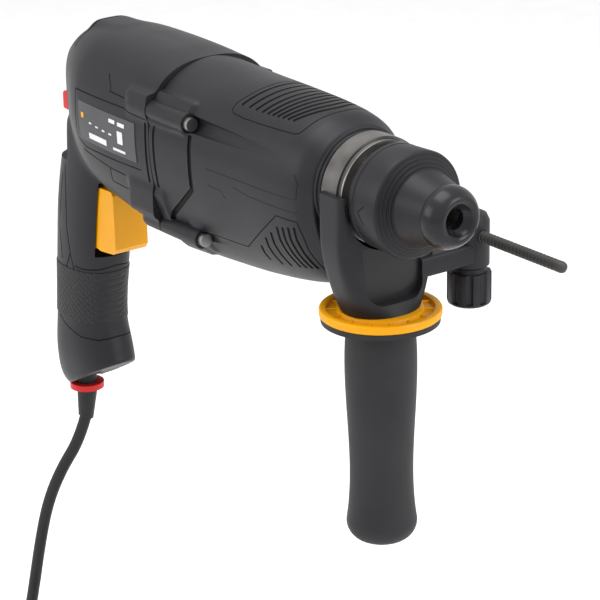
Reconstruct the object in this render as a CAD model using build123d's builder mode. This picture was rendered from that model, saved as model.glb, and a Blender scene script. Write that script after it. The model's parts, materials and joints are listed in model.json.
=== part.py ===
from build123d import *
from math import atan, cos, pi, radians, sin, sqrt, tan
import os

os.makedirs("parts", exist_ok=True)

# A corded rotary hammer, in millimetres. +X runs forward along the tool axis, +Z is up.
# The origin is the middle of the main grip, where the hand holds the tool.
# Stations along the tool are counted from the side handle's axis, heights from the tool axis.

# Places of the main axes
grip_to_side_handle = 252.0
grip_to_tool_axis = 112.0
layshaft_drop = 36.0
motor_drop = 12.0
rod_side = 52.0
rod_drop = 30.5

# Fits
running_fit = 0.05
free_gap = 0.4
skin_gap = 0.5

# Walls
shell_wall = 2.5
case_wall = 2.4

# Casing
nose_radius = 24.3
cover_front = -15.7
cover_rear = -134.0
cover_stations = [
    (cover_front, 27.4, 27.4, 45.0),
    (-24.0, 31.8, 31.4, 50.5),
    (-40.0, 33.8, 33.6, 55.0),
    (-70.0, 34.8, 34.6, 59.5),
    (-100.0, 36.2, 34.8, 62.0),
    (cover_rear, 37.6, 35.6, 64.0),
]
rear_stations = [
    (cover_rear - skin_gap, 37.6, 35.6, 64.0),
    (-165.0, 38.0, 37.2, 59.5),
    (-200.0, 36.0, 37.0, 53.5),
    (-232.0, 29.5, 33.5, 49.5),
    (-250.0, 22.0, 27.0, 46.0),
    (-262.0, 14.0, 19.0, 41.0),
]
boss_radius = 5.2
boss_places = [(34.4, 14.7), (28.0, -45.0)]
pocket_front = -62.0
boss_front = -103.4
screw_radius = 1.8
screw_head_radius = 3.3
screw_length = 44.0
window_back = -130.0
window_front = -100.0
window_top = 8.0
window_bottom = -22.0
groove = 1.2
grip_stations = [
    (-26.0, -236.0, 22.0, 17.5),
    (-60.0, -245.0, 22.8, 17.0),
    (-95.0, -250.0, 22.8, 16.6),
    (-130.0, -254.0, 22.4, 16.4),
    (-150.0, -252.6, 26.0, 17.2),
    (-166.0, -251.6, 27.6, 17.2),
    (-176.0, -253.0, 23.6, 14.8),
]
pad_top = -103.0
pad_bottom = -147.0
pad_thickness = 1.4

# Chuck
bit_radius = 5.05
nose_end = 49.6
cap_back = 47.5
cap_radius = 14.7
cap_tip = 57.5
sleeve_back = 8.4
sleeve_radius = 25.4
cone_base = 32.5
cone_front = 46.9
stop_ring_radius = 24.4
spindle_radius = 14.5
cylinder_radius = 11.5
spindle_rear = -80.0

# Gears: module, teeth and face width
lay_module = 1.0
motor_teeth = 11
lay_teeth = 37
spindle_module = 1.5
pinion_teeth = 12
spindle_teeth = 36
backlash = 0.16
pressure_angle = radians(20)
flank_steps = 2
spindle_gear_station = -74.0
spindle_gear_width = 10.0
lay_gear_station = -119.0
lay_gear_width = 8.0
wobble_station = -93.0

# Motor
stator_radius = 28.4
stator_front = -152.0
stator_length = 48.0
armature_radius = 17.4
air_gap = 0.6
shaft_radius = 4.0
shaft_front = -110.0
fan_station = -147.0
fan_radius = 27.5
commutator_reach = 22.0
commutator_station = stator_front - stator_length - commutator_reach
commutator_radius = 11.0
shaft_tail = 15.0
shaft_rear = commutator_station - shaft_tail

# Side handle
guard_top = -56.1
guard_radius = 28.8
guard_thickness = 4.0
handle_end = -174.0
bracket_half = 9.0
band_front = 0.5
band_rear = -10.4
band_thickness = 1.2
rod_radius = 2.8
rod_front = 69.0
rod_length = 165.0
clamp_radius = 9.6
clamp_station = 2.0
clamp_top = -19.5
clamp_bottom = -46.5
knob_radius = 10.6
knob_height = 19.0

# Trigger
trigger_half = 10.2
trigger_pivot = (-231.0, -57.0)
trigger_pin_radius = 2.0

# Cord
cord_radius = 3.4

# The cord's hand-set route from the strain relief down to the coil, and from the coil to the plug
cord_points = [
    (-11.9, -1.2, -85.0),
    (-14.6, -4.8, -100.0),
    (-20.8, -13.3, -117.0),
    (-25.8, -20.2, -137.0),
    (-29.1, -24.6, -161.0),
    (-32.0, -28.6, -189.0),
    (-34.5, -32.5, -213.0),
    (-35.0, -41.0, -234.0),
    (-34.0, -56.0, -248.0),
    (-31.0, -76.0, -252.4),
    (-22.0, -96.0, -252.6),
    (-5.0, -110.0, -252.6),
    (17.0, -116.0, -252.6),
    (38.0, -116.0, -252.6),
]
tail_points = [
    (111.0, -43.0, -239.0),
    (111.0, -25.0, -239.0),
    (110.4, -4.0, -245.0),
    (108.0, 15.0, -252.4),
    (108.0, 33.0, -252.4),
]
floor_height = -256.0
coil_place = (65.0, -70.0)
coil_turn_radius = 46.0
coil_inner = 28.6
coil_height = 20.4
coil_stub = 27.0


def point(station, side, height):
    """A point given by its station, side and height about the tool axis."""
    return (grip_to_side_handle + station, side, grip_to_tool_axis + height)


def across(station, side=0.0, height=0.0):
    """Plane across the tool, its x along +Y and its y along +Z."""
    return Plane(origin=point(station, side, height), x_dir=(0, 1, 0), z_dir=(1, 0, 0))


def flank(side=0.0):
    """Upright plane along the tool, its x along +X and its y along +Z; it extrudes toward -Y."""
    return Plane(origin=point(0, side, 0), x_dir=(1, 0, 0), z_dir=(0, -1, 0))


def level(height, station=0.0, side=0.0):
    """Flat plane at a height."""
    return Plane(origin=point(station, side, height), x_dir=(1, 0, 0), z_dir=(0, 0, 1))


def along(side=0.0, height=0.0):
    """Line parallel to the tool axis."""
    return Axis(point(0, side, height), (1, 0, 0))


def turned(outline, side=0.0, height=0.0):
    """Turned piece: an outline of (station, radius) points about a line along the tool."""
    with BuildPart() as piece:
        with BuildSketch(Plane(origin=point(0, side, height), x_dir=(1, 0, 0), z_dir=(0, -1, 0))):
            with BuildLine():
                Polyline(*outline, close=True)
            make_face()
        revolve(axis=along(side, height))
    return piece


def ring(back, front, outer, inner, side=0.0, height=0.0):
    """Plain ring between two stations."""
    return turned([(back, inner), (front, inner), (front, outer), (back, outer)], side, height)


def bearing(back, width, outer, inner, height):
    """Ball bearing as one ring with a groove in each face."""
    groove = (outer - inner) / 5
    front = back + width
    middle = (outer + inner) / 2
    depth = width / 5
    outline = [
        (back, inner),
        (front, inner),
        (front, middle - groove),
        (front - depth, middle - groove),
        (front - depth, middle + groove),
        (front, middle + groove),
        (front, outer),
        (back, outer),
        (back, middle + groove),
        (back + depth, middle + groove),
        (back + depth, middle - groove),
        (back, middle - groove),
    ]
    return turned(outline, 0.0, height)


def egg(half_width, top, depth):
    """Egg-shaped outline: half an ellipse above the tool axis and a deeper one below."""
    with BuildSketch(Plane.XY) as outline:
        with BuildLine():
            EllipticalCenterArc((0, 0), half_width, top, start_angle=0, arc_size=180)
            EllipticalCenterArc((0, 0), half_width, depth, start_angle=180, arc_size=180)
        make_face()
    return outline.sketch


def hull(stations, inset=0.0):
    """Loft of egg-shaped outlines along the tool, all drawn in by the inset."""
    with BuildPart() as solid:
        for station, half_width, top, depth in stations:
            with BuildSketch(across(station)):
                add(egg(half_width - inset, top - inset, depth - inset))
        loft()
    return solid.part


def grip_hull(inset=0.0):
    """Loft of the main grip's oval outlines, all drawn in by the inset."""
    with BuildPart() as solid:
        for height, station, half_length, half_width in grip_stations:
            with BuildSketch(level(height, station)):
                Ellipse(half_length - inset, half_width - inset)
        loft()
    return solid.part


def tooth_outline(module, teeth):
    """Half outline of one involute tooth, from root to tip, as (radius, half angle) pairs."""
    pitch = module * teeth / 2
    base = pitch * cos(pressure_angle)
    root = pitch - 1.2 * module
    tip = pitch + 0.8 * module
    half_angle = pi / 2 / teeth - backlash / 2 / pitch + tan(pressure_angle) - pressure_angle
    outline = [(root, half_angle)]
    foot = max(base, root)
    for step in range(flank_steps + 1):
        radius = foot + (tip - foot) * step / flank_steps
        roll = sqrt(max((radius / base) ** 2 - 1, 0))
        outline.append((radius, half_angle - roll + atan(roll)))
    return outline


def gear(module, teeth, back, width, bore, height, phase):
    """Spur gear about a line along the tool, with its first tooth at the phase angle."""
    half = tooth_outline(module, teeth)
    whole = [(radius, -angle) for radius, angle in half] + list(reversed(half))
    outline = []
    for tooth in range(teeth):
        turn = radians(phase) + 2 * pi * tooth / teeth
        outline += [(r * cos(turn + a), r * sin(turn + a)) for r, a in whole]
    with BuildPart() as wheel:
        with BuildSketch(across(back, 0.0, height)):
            with BuildLine():
                Polyline(*outline, close=True)
            make_face()
            Circle(bore, mode=Mode.SUBTRACT)
        extrude(amount=width)
    return wheel


def block(stations, sides, heights):
    """Box between two stations, two sides and two heights."""
    with BuildPart() as box:
        with BuildSketch(level(heights[0], sum(stations) / 2, sum(sides) / 2)):
            Rectangle(stations[1] - stations[0], sides[1] - sides[0])
        extrude(amount=heights[1] - heights[0])
    return box.part


def post(radius, station, side, heights):
    """Upright cylinder between two heights."""
    with BuildPart() as cylinder:
        with BuildSketch(level(heights[0], station, side)):
            Circle(radius)
        extrude(amount=heights[1] - heights[0])
    return cylinder.part


def crossbar(radius, station, height, sides):
    """Cylinder across the tool between two sides."""
    with BuildPart() as cylinder:
        with BuildSketch(Plane(origin=point(station, sides[0], height), x_dir=(1, 0, 0), z_dir=(0, 1, 0))):
            Circle(radius)
        extrude(amount=sides[1] - sides[0])
    return cylinder.part


def skin_at(station, stations):
    """Half width, top and depth of a casing at a station, between the stations it is drawn from."""
    for ahead, behind in zip(stations, stations[1:]):
        if behind[0] <= station <= ahead[0]:
            share = (ahead[0] - station) / (ahead[0] - behind[0])
            return [a + (b - a) * share for a, b in zip(ahead[1:], behind[1:])]


def boss_columns(radius, back, front):
    """The four screw columns along the tool, as one shape."""
    with BuildPart() as columns:
        for side, height in boss_places:
            for hand in (1, -1):
                with BuildSketch(across(back, hand * side, height)):
                    Circle(radius)
        extrude(amount=front - back)
    return columns.part


def window_prism(margin):
    """Side window of the front cover, drawn in by a margin, through both walls."""
    low = window_bottom + margin
    with BuildPart() as prism:
        with BuildSketch(flank()):
            with BuildLine():
                Polyline(
                    (window_back + margin, window_top - margin),
                    (window_front - margin, window_top - margin),
                    (window_front - margin, low + 7),
                    (window_front - 9, low),
                    (window_back + margin, low),
                    close=True,
                )
            make_face()
        extrude(amount=2 * guard_radius, both=True)
    return prism.part


# Front cover: the plastic shell over the gear case
cover_inner = [(cover_front - shell_wall,) + cover_stations[0][1:]] + cover_stations[1:-1]
cover_inner += [(cover_rear - 1,) + cover_stations[-1][1:]]
cover_solid = hull(cover_stations)
cover_hollow = hull(cover_inner, shell_wall)

with BuildPart() as gearbox_cover:
    add(cover_solid)
    add(boss_columns(boss_radius, cover_rear, boss_front))
    add(cover_hollow, mode=Mode.SUBTRACT)
    with BuildSketch(across(cover_front + 1)):
        Circle(nose_radius + free_gap)
    extrude(amount=-3 * shell_wall, mode=Mode.SUBTRACT)
    add(window_prism(0), mode=Mode.SUBTRACT)
    add(boss_columns(screw_radius + 0.2, cover_rear - 1, boss_front + 1), mode=Mode.SUBTRACT)
    add(boss_columns(screw_head_radius + 0.4, boss_front, pocket_front), mode=Mode.SUBTRACT)

# Side straps: one plate in each window, held by a wider lip behind the wall
lip_depth = 1.6
with BuildPart() as strap_pair:
    add(cover_solid)
    add(window_prism(groove), mode=Mode.INTERSECT)
    add(cover_hollow, mode=Mode.SUBTRACT)
with BuildPart() as strap_lips:
    add(hull(cover_inner, shell_wall + 0.1))
    add(window_prism(-groove), mode=Mode.INTERSECT)
    add(hull(cover_inner, shell_wall + lip_depth), mode=Mode.SUBTRACT)

with BuildPart() as side_straps:
    add(strap_pair.part)
    add(strap_lips.part)

# Gear case: the metal nose and the cup behind it
case_inset = shell_wall + 2 * free_gap
case_rear = -96.0
case_stations = cover_stations[1:4] + [(case_rear, 36.0, 34.8, 61.8)]
case_inner = [(case_stations[0][0] - case_wall,) + case_stations[0][1:]] + case_stations[1:-1]
case_inner += [(case_stations[-1][0] - 1,) + case_stations[-1][1:]]
bearing_radius = 19.0
nose_front = 1.2
with BuildPart() as gear_case:
    add(hull(case_stations, case_inset))
    add(hull(case_inner, case_inset + case_wall), mode=Mode.SUBTRACT)
    with BuildSketch(across(case_stations[0][0] - case_wall)):
        Circle(nose_radius)
    extrude(amount=nose_front - case_stations[0][0] + case_wall)
    with BuildSketch(across(nose_front + 1)):
        Circle(bearing_radius)
    extrude(amount=-40, mode=Mode.SUBTRACT)

# Bulkhead: closes the gearbox and holds the rear bearings
plate_back = -130.0
plate_width = 8.0
lay_bearing_radius = 8.0
motor_bearing_radius = 9.5
with BuildPart() as bearing_plate:
    add(hull(cover_inner, shell_wall + lip_depth + free_gap))
    add(block((plate_back, plate_back + plate_width), (-50, 50), (-80, 50)), mode=Mode.INTERSECT)
    add(boss_columns(boss_radius + free_gap, cover_rear, boss_front), mode=Mode.SUBTRACT)
    with BuildSketch(across(plate_back, 0, -layshaft_drop)):
        Circle(lay_bearing_radius)
    with BuildSketch(across(plate_back, 0, -motor_drop)):
        Circle(motor_bearing_radius)
    extrude(amount=plate_width, mode=Mode.SUBTRACT)

# Spindle and chuck
with BuildPart() as spindle:
    with BuildSketch(flank()):
        with BuildLine():
            Polyline(
                (spindle_rear, cylinder_radius),
                (-26, cylinder_radius),
                (-26, 7.6),
                (-2, 7.6),
                (-2, bit_radius),
                (nose_end, bit_radius),
                (nose_end, 8.8),
                (38, 8.8),
                (38, 12.4),
                (16, 12.4),
                (16, spindle_radius),
                (spindle_rear, spindle_radius),
                close=True,
            )
        make_face()
    revolve(axis=along())
    with BuildSketch(level(0, 27)):
        Circle(3.6)
    extrude(amount=20, both=True, mode=Mode.SUBTRACT)

ball_radius = 3.5
with BuildPart(level(0)) as locking_balls:
    with Locations((27, 0, 8.9), (27, 0, -8.9)):
        Sphere(ball_radius)

spindle_gear = gear(
    spindle_module, spindle_teeth, spindle_gear_station, spindle_gear_width, spindle_radius, 0.0,
    -90 + 180 / spindle_teeth,
)
stop_ring = ring(1.9, 3.0, stop_ring_radius, spindle_radius)

with BuildPart() as dust_cap:
    with BuildSketch(flank()):
        with BuildLine():
            Polyline(
                (cap_back, cap_radius),
                (cap_back, 12.2),
                (42, 12.2),
                (42, 8.85),
                (nose_end + 0.2, 8.85),
                (nose_end + 0.2, bit_radius),
                (53.4, bit_radius),
            )
            ThreePointArc((53.4, bit_radius), (54.6, 6.2), (56.6, 7.6))
            ThreePointArc((56.6, 7.6), (cap_tip, 9.6), (56.4, 11.8))
            ThreePointArc((56.4, 11.8), (53.4, 13.9), (cap_back, cap_radius))
        make_face()
    revolve(axis=along())

with BuildPart() as lock_sleeve:
    with BuildSketch(flank()):
        with BuildLine():
            Polyline(
                (sleeve_back, 20.5),
                (28, 20.5),
                (28, 13.0),
                (cone_front, 13.0),
                (cone_front, 14.1),
                (cone_base, 17.8),
                (31.6, 17.8),
                (31.6, 19.4),
                (30.4, 19.6),
                (30.4, 21.0),
                (29.2, 21.2),
                (29.2, 22.6),
                (28.0, 22.8),
                (28.0, 24.2),
                (26.6, sleeve_radius),
                (sleeve_back + 1, 24.6),
                (sleeve_back, 23.8),
                close=True,
            )
        make_face()
    revolve(axis=along())
lock_ring = ring(24, 27.9, 20.45, 12.8)

with BuildPart() as sleeve_spring:
    with BuildLine():
        coil_line = Helix(4.6, 17.6, 17.2, center=point(4.6, 0, 0), direction=(1, 0, 0))
    with BuildSketch(Plane(origin=coil_line @ 0, z_dir=coil_line % 0)):
        Circle(0.9)
    sweep(path=coil_line)

front_seal = ring(-7, -2, bearing_radius, spindle_radius + running_fit)
spindle_bearing = bearing(-22, 12, bearing_radius, spindle_radius + running_fit, 0.0)

# Hammer train
beat_piece = turned(
    [(-27, 0), (-2.4, 0), (-2.4, 4.9), (-5.6, 4.9), (-7.2, 7.5), (-24, 7.5), (-24, 5), (-27, 5)]
)
ram = turned(
    [(-56, 0), (-34, 0), (-34, 5), (-38, 11.4), (-44, 11.4), (-44, 10.2), (-47, 10.2), (-47, 11.4), (-56, 11.4)]
)
ram_seal = ring(-46.9, -44.1, 11.42, 10.2)
pin_radius = 5.5
finger_radius = 2.5
with BuildPart() as piston:
    add(ring(-84, -66, 11.4, 0.5).part)
    add(block((-101, -83.5), (5.0, 8.8), (-6.8, 6.8)))
    add(block((-101, -83.5), (-8.8, -5.0), (-6.8, 6.8)))
    add(crossbar(pin_radius + 0.04, wobble_station, 0, (-12, 12)), mode=Mode.SUBTRACT)
with BuildPart() as piston_pin:
    add(crossbar(pin_radius, wobble_station, 0, (-8.8, 8.8)))
    add(post(4.0, wobble_station, 0, (-9, 9)), mode=Mode.SUBTRACT)

# Layshaft: carries the big gear, the spindle's pinion and the wobble drive
lay_radius = 5.0
layshaft = turned(
    [
        (plate_back + 1, 0), (-50, 0), (-50, 4), (-58, 4), (-58, lay_radius),
        (plate_back + plate_width, lay_radius), (plate_back + plate_width, 4), (plate_back + 1, 4),
    ],
    0.0, -layshaft_drop,
)
lay_gear = gear(
    lay_module, lay_teeth, lay_gear_station, lay_gear_width, lay_radius, -layshaft_drop,
    90 + 180 / lay_teeth,
)
spindle_pinion = gear(
    spindle_module, pinion_teeth, spindle_gear_station - 1, spindle_gear_width + 2, lay_radius,
    -layshaft_drop, 90,
)
wobble_hub = ring(-101, -85, 8.6, lay_radius, 0.0, -layshaft_drop)
with BuildPart() as wobble_plate:
    add(ring(wobble_station - 4, wobble_station + 4, 14.4, 10.2, 0.0, -layshaft_drop).part)
    add(post(finger_radius, wobble_station, 0, (-layshaft_drop + 12, 3.5)))
lay_bearings = bearing(plate_back, 6, lay_bearing_radius, 4 + running_fit, -layshaft_drop)
with BuildPart() as front_lay_bearing:
    add(bearing(-57.6, 6, 8, 4 + running_fit, -layshaft_drop).part)
with BuildPart() as layshaft_bearings:
    add(lay_bearings.part)
    add(front_lay_bearing.part)

# Motor
motor_pinion = gear(
    lay_module, motor_teeth, lay_gear_station, lay_gear_width, shaft_radius - 0.2, -motor_drop, -90
)
armature_shaft = turned(
    [(shaft_rear, 0), (shaft_front, 0), (shaft_front, shaft_radius - 0.2), (plate_back + 10, shaft_radius - 0.2),
     (plate_back + 10, shaft_radius), (shaft_rear, shaft_radius)],
    0.0, -motor_drop,
)
motor_rear_bearing = shaft_rear + 3
with BuildPart() as motor_bearings:
    add(bearing(plate_back, 7, motor_bearing_radius, shaft_radius + running_fit, -motor_drop).part)
    add(bearing(motor_rear_bearing, 7, motor_bearing_radius, shaft_radius + running_fit, -motor_drop).part)

slot_count = 12
with BuildPart() as armature_core:
    with BuildSketch(across(stator_front - stator_length, 0, -motor_drop)):
        Circle(armature_radius)
        Circle(shaft_radius, mode=Mode.SUBTRACT)
        with PolarLocations(armature_radius - 2, slot_count):
            Rectangle(5, 1.4, mode=Mode.SUBTRACT)
    extrude(amount=stator_length)
with BuildPart() as armature_windings:
    add(ring(stator_front + 0.1, stator_front + 4.6, 15.5, 6, 0, -motor_drop).part)
    coil_end = stator_front - stator_length - 0.1
    add(ring(coil_end - 6.9, coil_end, 15, 6, 0, -motor_drop).part)
with BuildPart() as commutator:
    with BuildSketch(across(commutator_station, 0, -motor_drop)):
        Circle(commutator_radius)
        Circle(shaft_radius, mode=Mode.SUBTRACT)
        with PolarLocations(commutator_radius, 2 * slot_count):
            Rectangle(1.6, 0.5, mode=Mode.SUBTRACT)
    extrude(amount=12)

fan_width = 9.0
with BuildPart() as fan:
    with BuildSketch(across(fan_station, 0, -motor_drop)):
        Circle(fan_radius)
        Circle(shaft_radius, mode=Mode.SUBTRACT)
    extrude(amount=1.6)
    with BuildSketch(across(fan_station, 0, -motor_drop)):
        Circle(8)
        with PolarLocations(17.5, 16, start_angle=0):
            Rectangle(18, 1.4, rotation=20)
        Circle(shaft_radius, mode=Mode.SUBTRACT)
    extrude(amount=fan_width)
    with BuildSketch(across(fan_station, 0, -motor_drop)):
        Circle(fan_radius + 4)
        Circle(fan_radius, mode=Mode.SUBTRACT)
    extrude(amount=fan_width, mode=Mode.SUBTRACT)

with BuildPart() as stator:
    with BuildSketch(across(stator_front - stator_length, 0, -motor_drop)):
        Circle(stator_radius)
        Circle(armature_radius + air_gap, mode=Mode.SUBTRACT)
        with Locations((0, 20.5), (0, -20.5)):
            Rectangle(27, 5.4, mode=Mode.SUBTRACT)
    extrude(amount=stator_length)
with BuildPart() as field_coils:
    for height in (20.5, -20.5):
        with BuildSketch(across(stator_front - stator_length - 6, 0, height - motor_drop)):
            RectangleRounded(26.4, 4.8, 2)
    extrude(amount=stator_length + 10)

brush_side = (commutator_radius + running_fit, commutator_radius + 9)
holder_side = (commutator_radius + 1.5, commutator_radius + 12)
brush_station = (commutator_station + 2.5, commutator_station + 9.5)
with BuildPart() as brushes:
    add(block(brush_station, brush_side, (-motor_drop - 3, -motor_drop + 3)))
    mirror(about=Plane.XZ)
with BuildPart() as brush_holders:
    holder_station = (brush_station[0] - 1.5, brush_station[1] + 1.5)
    add(block(holder_station, holder_side, (-motor_drop - 4.5, -motor_drop + 4.5)))
    add(block(brush_station, (0, brush_side[1]), (-motor_drop - 3, -motor_drop + 3)), mode=Mode.SUBTRACT)
    mirror(about=Plane.XZ)

# Rear casing halves: motor housing and main grip in one moulding each
rear_inner = [(rear_stations[0][0] + 1,) + rear_stations[0][1:]] + rear_stations[1:-1]
rear_inner += [(rear_stations[-1][0] + shell_wall,) + rear_stations[-1][1:]]
grip_bottom = grip_stations[-1][0]
exit_station = -263.0
collar_radius = 9.4
boot_neck = 5.6
pin_half = 13.2
damper_window = ((-259.0, -250.0), (-30.0, 30.0), (-42.0, -5.0))
damper_split = -15.0
vent_count = 3
vent_rear = -249.0
vent_pitch = 4.4
vent_width = 1.5
vent_half = 14.0
trigger_slot = ((-240.5, -205.0), (-trigger_half - 0.5, trigger_half + 0.5), (-92.0, -51.0))


def trimmed_grip(inset):
    """The grip's hollow: its outline drawn in, and stopped short of the grip's end."""
    with BuildPart() as hollow:
        for height, station, half_length, half_width in grip_stations:
            lift = shell_wall if height == grip_bottom else 0
            with BuildSketch(level(height + lift, station)):
                Ellipse(half_length - inset, half_width - inset)
        loft()
    return hollow.part


with BuildPart() as rear_shell:
    add(hull(rear_stations))
    add(grip_hull())
    add(boss_columns(boss_radius, boss_front - screw_length, rear_stations[0][0]))
    add(hull(rear_inner, shell_wall), mode=Mode.SUBTRACT)
    add(trimmed_grip(shell_wall), mode=Mode.SUBTRACT)
    add(block(*trigger_slot), mode=Mode.SUBTRACT)
    pin_hole = crossbar(trigger_pin_radius + running_fit, *trigger_pivot, (-pin_half - 0.2, pin_half + 0.2))
    add(pin_hole, mode=Mode.SUBTRACT)
    add(boss_columns(screw_radius + 0.05, boss_front - screw_length - 1, cover_rear), mode=Mode.SUBTRACT)
    add(block(*damper_window), mode=Mode.SUBTRACT)
    for slot in range(vent_count):
        back = vent_rear + slot * vent_pitch
        add(block((back, back + vent_width), (-vent_half, vent_half), (20, 45)), mode=Mode.SUBTRACT)
    add(post(boot_neck + 0.1, exit_station, 0, (grip_bottom - 5, grip_bottom + 10)), mode=Mode.SUBTRACT)

with BuildPart() as grip_pad:
    add(grip_hull())
    add(trimmed_grip(pad_thickness), mode=Mode.SUBTRACT)
    add(block((-300, -200), (-30, 30), (pad_bottom, pad_top)), mode=Mode.INTERSECT)


def rear_half(keep_side):
    """One half of the rear casing, on one side of the tool."""
    with BuildPart() as half:
        add(rear_shell.part)
        add(grip_pad.part, mode=Mode.SUBTRACT)
        split(bisect_by=Plane.XZ, keep=keep_side)
    return half


rear_housing_right = rear_half(Keep.TOP)
rear_housing_left = rear_half(Keep.BOTTOM)


def damper(heights, inset):
    """Filling of the rear window between two heights, drawn in from the casing's skin."""
    back, front = damper_window[0]
    sides = damper_window[1]
    with BuildPart() as filling:
        add(hull(rear_stations, inset))
        add(block((back + 0.1, front - 0.1), sides, heights), mode=Mode.INTERSECT)
    return filling


damper_block = damper((damper_split + 0.1, damper_window[2][1] - 0.1), 0.4)
damper_bellows = damper((damper_window[2][0] + 0.1, damper_split - 0.1), 2.6)

# Screws that hold the front cover to the rear casing
with BuildPart() as front_screws:
    add(boss_columns(screw_radius, boss_front - screw_length + 2, boss_front))
    add(boss_columns(screw_head_radius, boss_front, boss_front + 3))

# Trigger, pin and switch
with BuildPart() as trigger:
    with BuildSketch(flank()):
        with BuildLine():
            Polyline(
                (-239, -53.5), (-214, -52.4), (-212.2, -54.5), (-211.6, -84), (-214, -87), (-226, -88.2),
                (-239, -86), close=True,
            )
        make_face()
    extrude(amount=trigger_half, both=True)
    add(crossbar(trigger_pin_radius + 0.05, *trigger_pivot, (-20, 20)), mode=Mode.SUBTRACT)
with BuildPart() as trigger_pin:
    add(crossbar(trigger_pin_radius, *trigger_pivot, (-pin_half, pin_half)))
switch_back = -264.5 + shell_wall
switch_half = 11.0 - shell_wall
with BuildPart() as switch_module:
    add(block((switch_back, -243), (-switch_half, switch_half), (-98, -67)))

# Strain relief and the red collar round it
cord_start = Vector(*cord_points[0])
cord_heading = (Vector(*cord_points[1]) - cord_start).normalized()
with BuildPart() as cord_collar:
    with BuildSketch(level(grip_bottom - 3.4, exit_station)):
        Circle(collar_radius)
        Circle(boot_neck + 0.1, mode=Mode.SUBTRACT)
    extrude(amount=3.3)
with BuildPart() as strain_relief:
    with BuildSketch(level(grip_bottom - 5, exit_station)):
        Circle(boot_neck)
    with BuildSketch(Plane(origin=cord_points[0], z_dir=-cord_heading)):
        Circle(cord_radius + 0.9)
    loft()
    add(post(boot_neck, exit_station, 0, (grip_bottom - 5, grip_bottom + 8)))


def cord_tube(points, name):
    """Tube along straight runs joined by the largest arcs that the runs allow."""
    places = [Vector(*p) for p in points]
    radii = []
    for before, corner, after in zip(places, places[1:], places[2:]):
        turn = radians((corner - before).get_angle(after - corner))
        shorter = min((corner - before).length, (after - corner).length)
        radii.append(0.45 * shorter / tan(turn / 2))
    print(name, "radii", [round(radius) for radius in radii])
    with BuildPart() as tube:
        with BuildLine() as route:
            FilletPolyline(*places, radius=radii)
        with BuildSketch(Plane(origin=places[0], z_dir=places[1] - places[0])):
            Circle(cord_radius)
        sweep(path=route.wires()[0])
    length = route.wires()[0].length
    ratio = tube.part.volume / length / pi / cord_radius**2
    print(name, "length", round(length), "volume ratio", round(ratio, 3))
    return tube


cord = cord_tube(cord_points, "cord")
cord_tail = cord_tube(tail_points, "cord_tail")

with BuildPart() as cord_coil:
    with BuildSketch(Plane(origin=(*coil_place, floor_height))):
        Circle(coil_turn_radius + cord_radius)
        Circle(coil_inner, mode=Mode.SUBTRACT)
    extrude(amount=coil_height)
    with BuildSketch(Plane(origin=cord_points[-1], z_dir=(1, 0, 0))):
        Circle(cord_radius)
    extrude(amount=coil_stub)
    with BuildSketch(Plane(origin=tail_points[0], z_dir=(0, -1, 0))):
        Circle(cord_radius)
    extrude(amount=coil_stub)

# Plug with two round pins
plug_back = Vector(*tail_points[-1])
plug_plane = Plane(origin=plug_back, x_dir=(0, 0, 1), z_dir=(0, 1, 0))
with BuildPart() as power_plug:
    with BuildSketch(plug_plane):
        Circle(cord_radius)
    with BuildSketch(Plane(origin=plug_back + Vector(0, 22, 9), x_dir=(0, 0, 1), z_dir=(0, 1, 0))):
        Circle(7)
    loft()
    with BuildSketch(Plane(origin=plug_back + Vector(0, 21, 14), x_dir=(0, 0, 1), z_dir=(0, 1, 0))):
        RectangleRounded(34, 34, 10)
    extrude(amount=26)
with BuildPart() as plug_pins:
    for reach in (-9.5, 9.5):
        with BuildSketch(Plane(origin=plug_back + Vector(reach, 47, 14), x_dir=(0, 0, 1), z_dir=(0, 1, 0))):
            Circle(2.4)
    extrude(amount=19)

# Side handle: bracket, band, guard, bolt and grip
liner_radius = nose_radius + 0.3
band_outer = liner_radius + band_thickness
with BuildPart() as clamp_band:
    add(ring(band_rear, band_front, band_outer, liner_radius).part)
    add(block((-40, 40), (-60, 60), (-60, -12)), mode=Mode.SUBTRACT)

arm_half = 6.5
bracket_foot = 16.4
with BuildPart() as handle_bracket:
    with BuildSketch(level(-20, -1)):
        RectangleRounded(2 * bracket_half, 2 * guard_radius, 3)
    with BuildSketch(level(guard_top)):
        Ellipse(bracket_foot, 19.5)
    loft()
    for hand in (1, -1):
        prong_sides = sorted((hand * band_outer, hand * guard_radius))
        add(block((-1 - bracket_half, -1 + bracket_half), prong_sides, (-20.5, 2)))
    add(block((-arm_half, arm_half + 4), (16, rod_side), (-44, -34)))
    add(post(clamp_radius, clamp_station, rod_side, (clamp_bottom, clamp_top - 3)))
    with BuildSketch(level(clamp_top - 3, clamp_station, rod_side)):
        Circle(clamp_radius)
    extrude(amount=3, taper=35)
    with BuildSketch(across(-20)):
        Circle(band_outer + 0.2)
    extrude(amount=40, mode=Mode.SUBTRACT)
    with BuildSketch(across(-20, rod_side, -rod_drop)):
        Circle(rod_radius + 0.25)
    extrude(amount=50, mode=Mode.SUBTRACT)
    add(post(4.1, 0, 0, (-80, 0)), mode=Mode.SUBTRACT)

bolt_radius = 4.0
with BuildPart() as clamp_bolt:
    add(post(bolt_radius, 0, 0, (-92, -liner_radius - 3)))
with BuildPart() as hand_guard:
    with BuildSketch(level(guard_top - guard_thickness)):
        Circle(guard_radius)
        Circle(bolt_radius + 0.3, mode=Mode.SUBTRACT)
    extrude(amount=guard_thickness - 0.1)
    with BuildSketch(level(guard_top - 2)):
        Circle(guard_radius - 3.4)
        Circle(20.2, mode=Mode.SUBTRACT)
    extrude(amount=4, mode=Mode.SUBTRACT)

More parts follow.
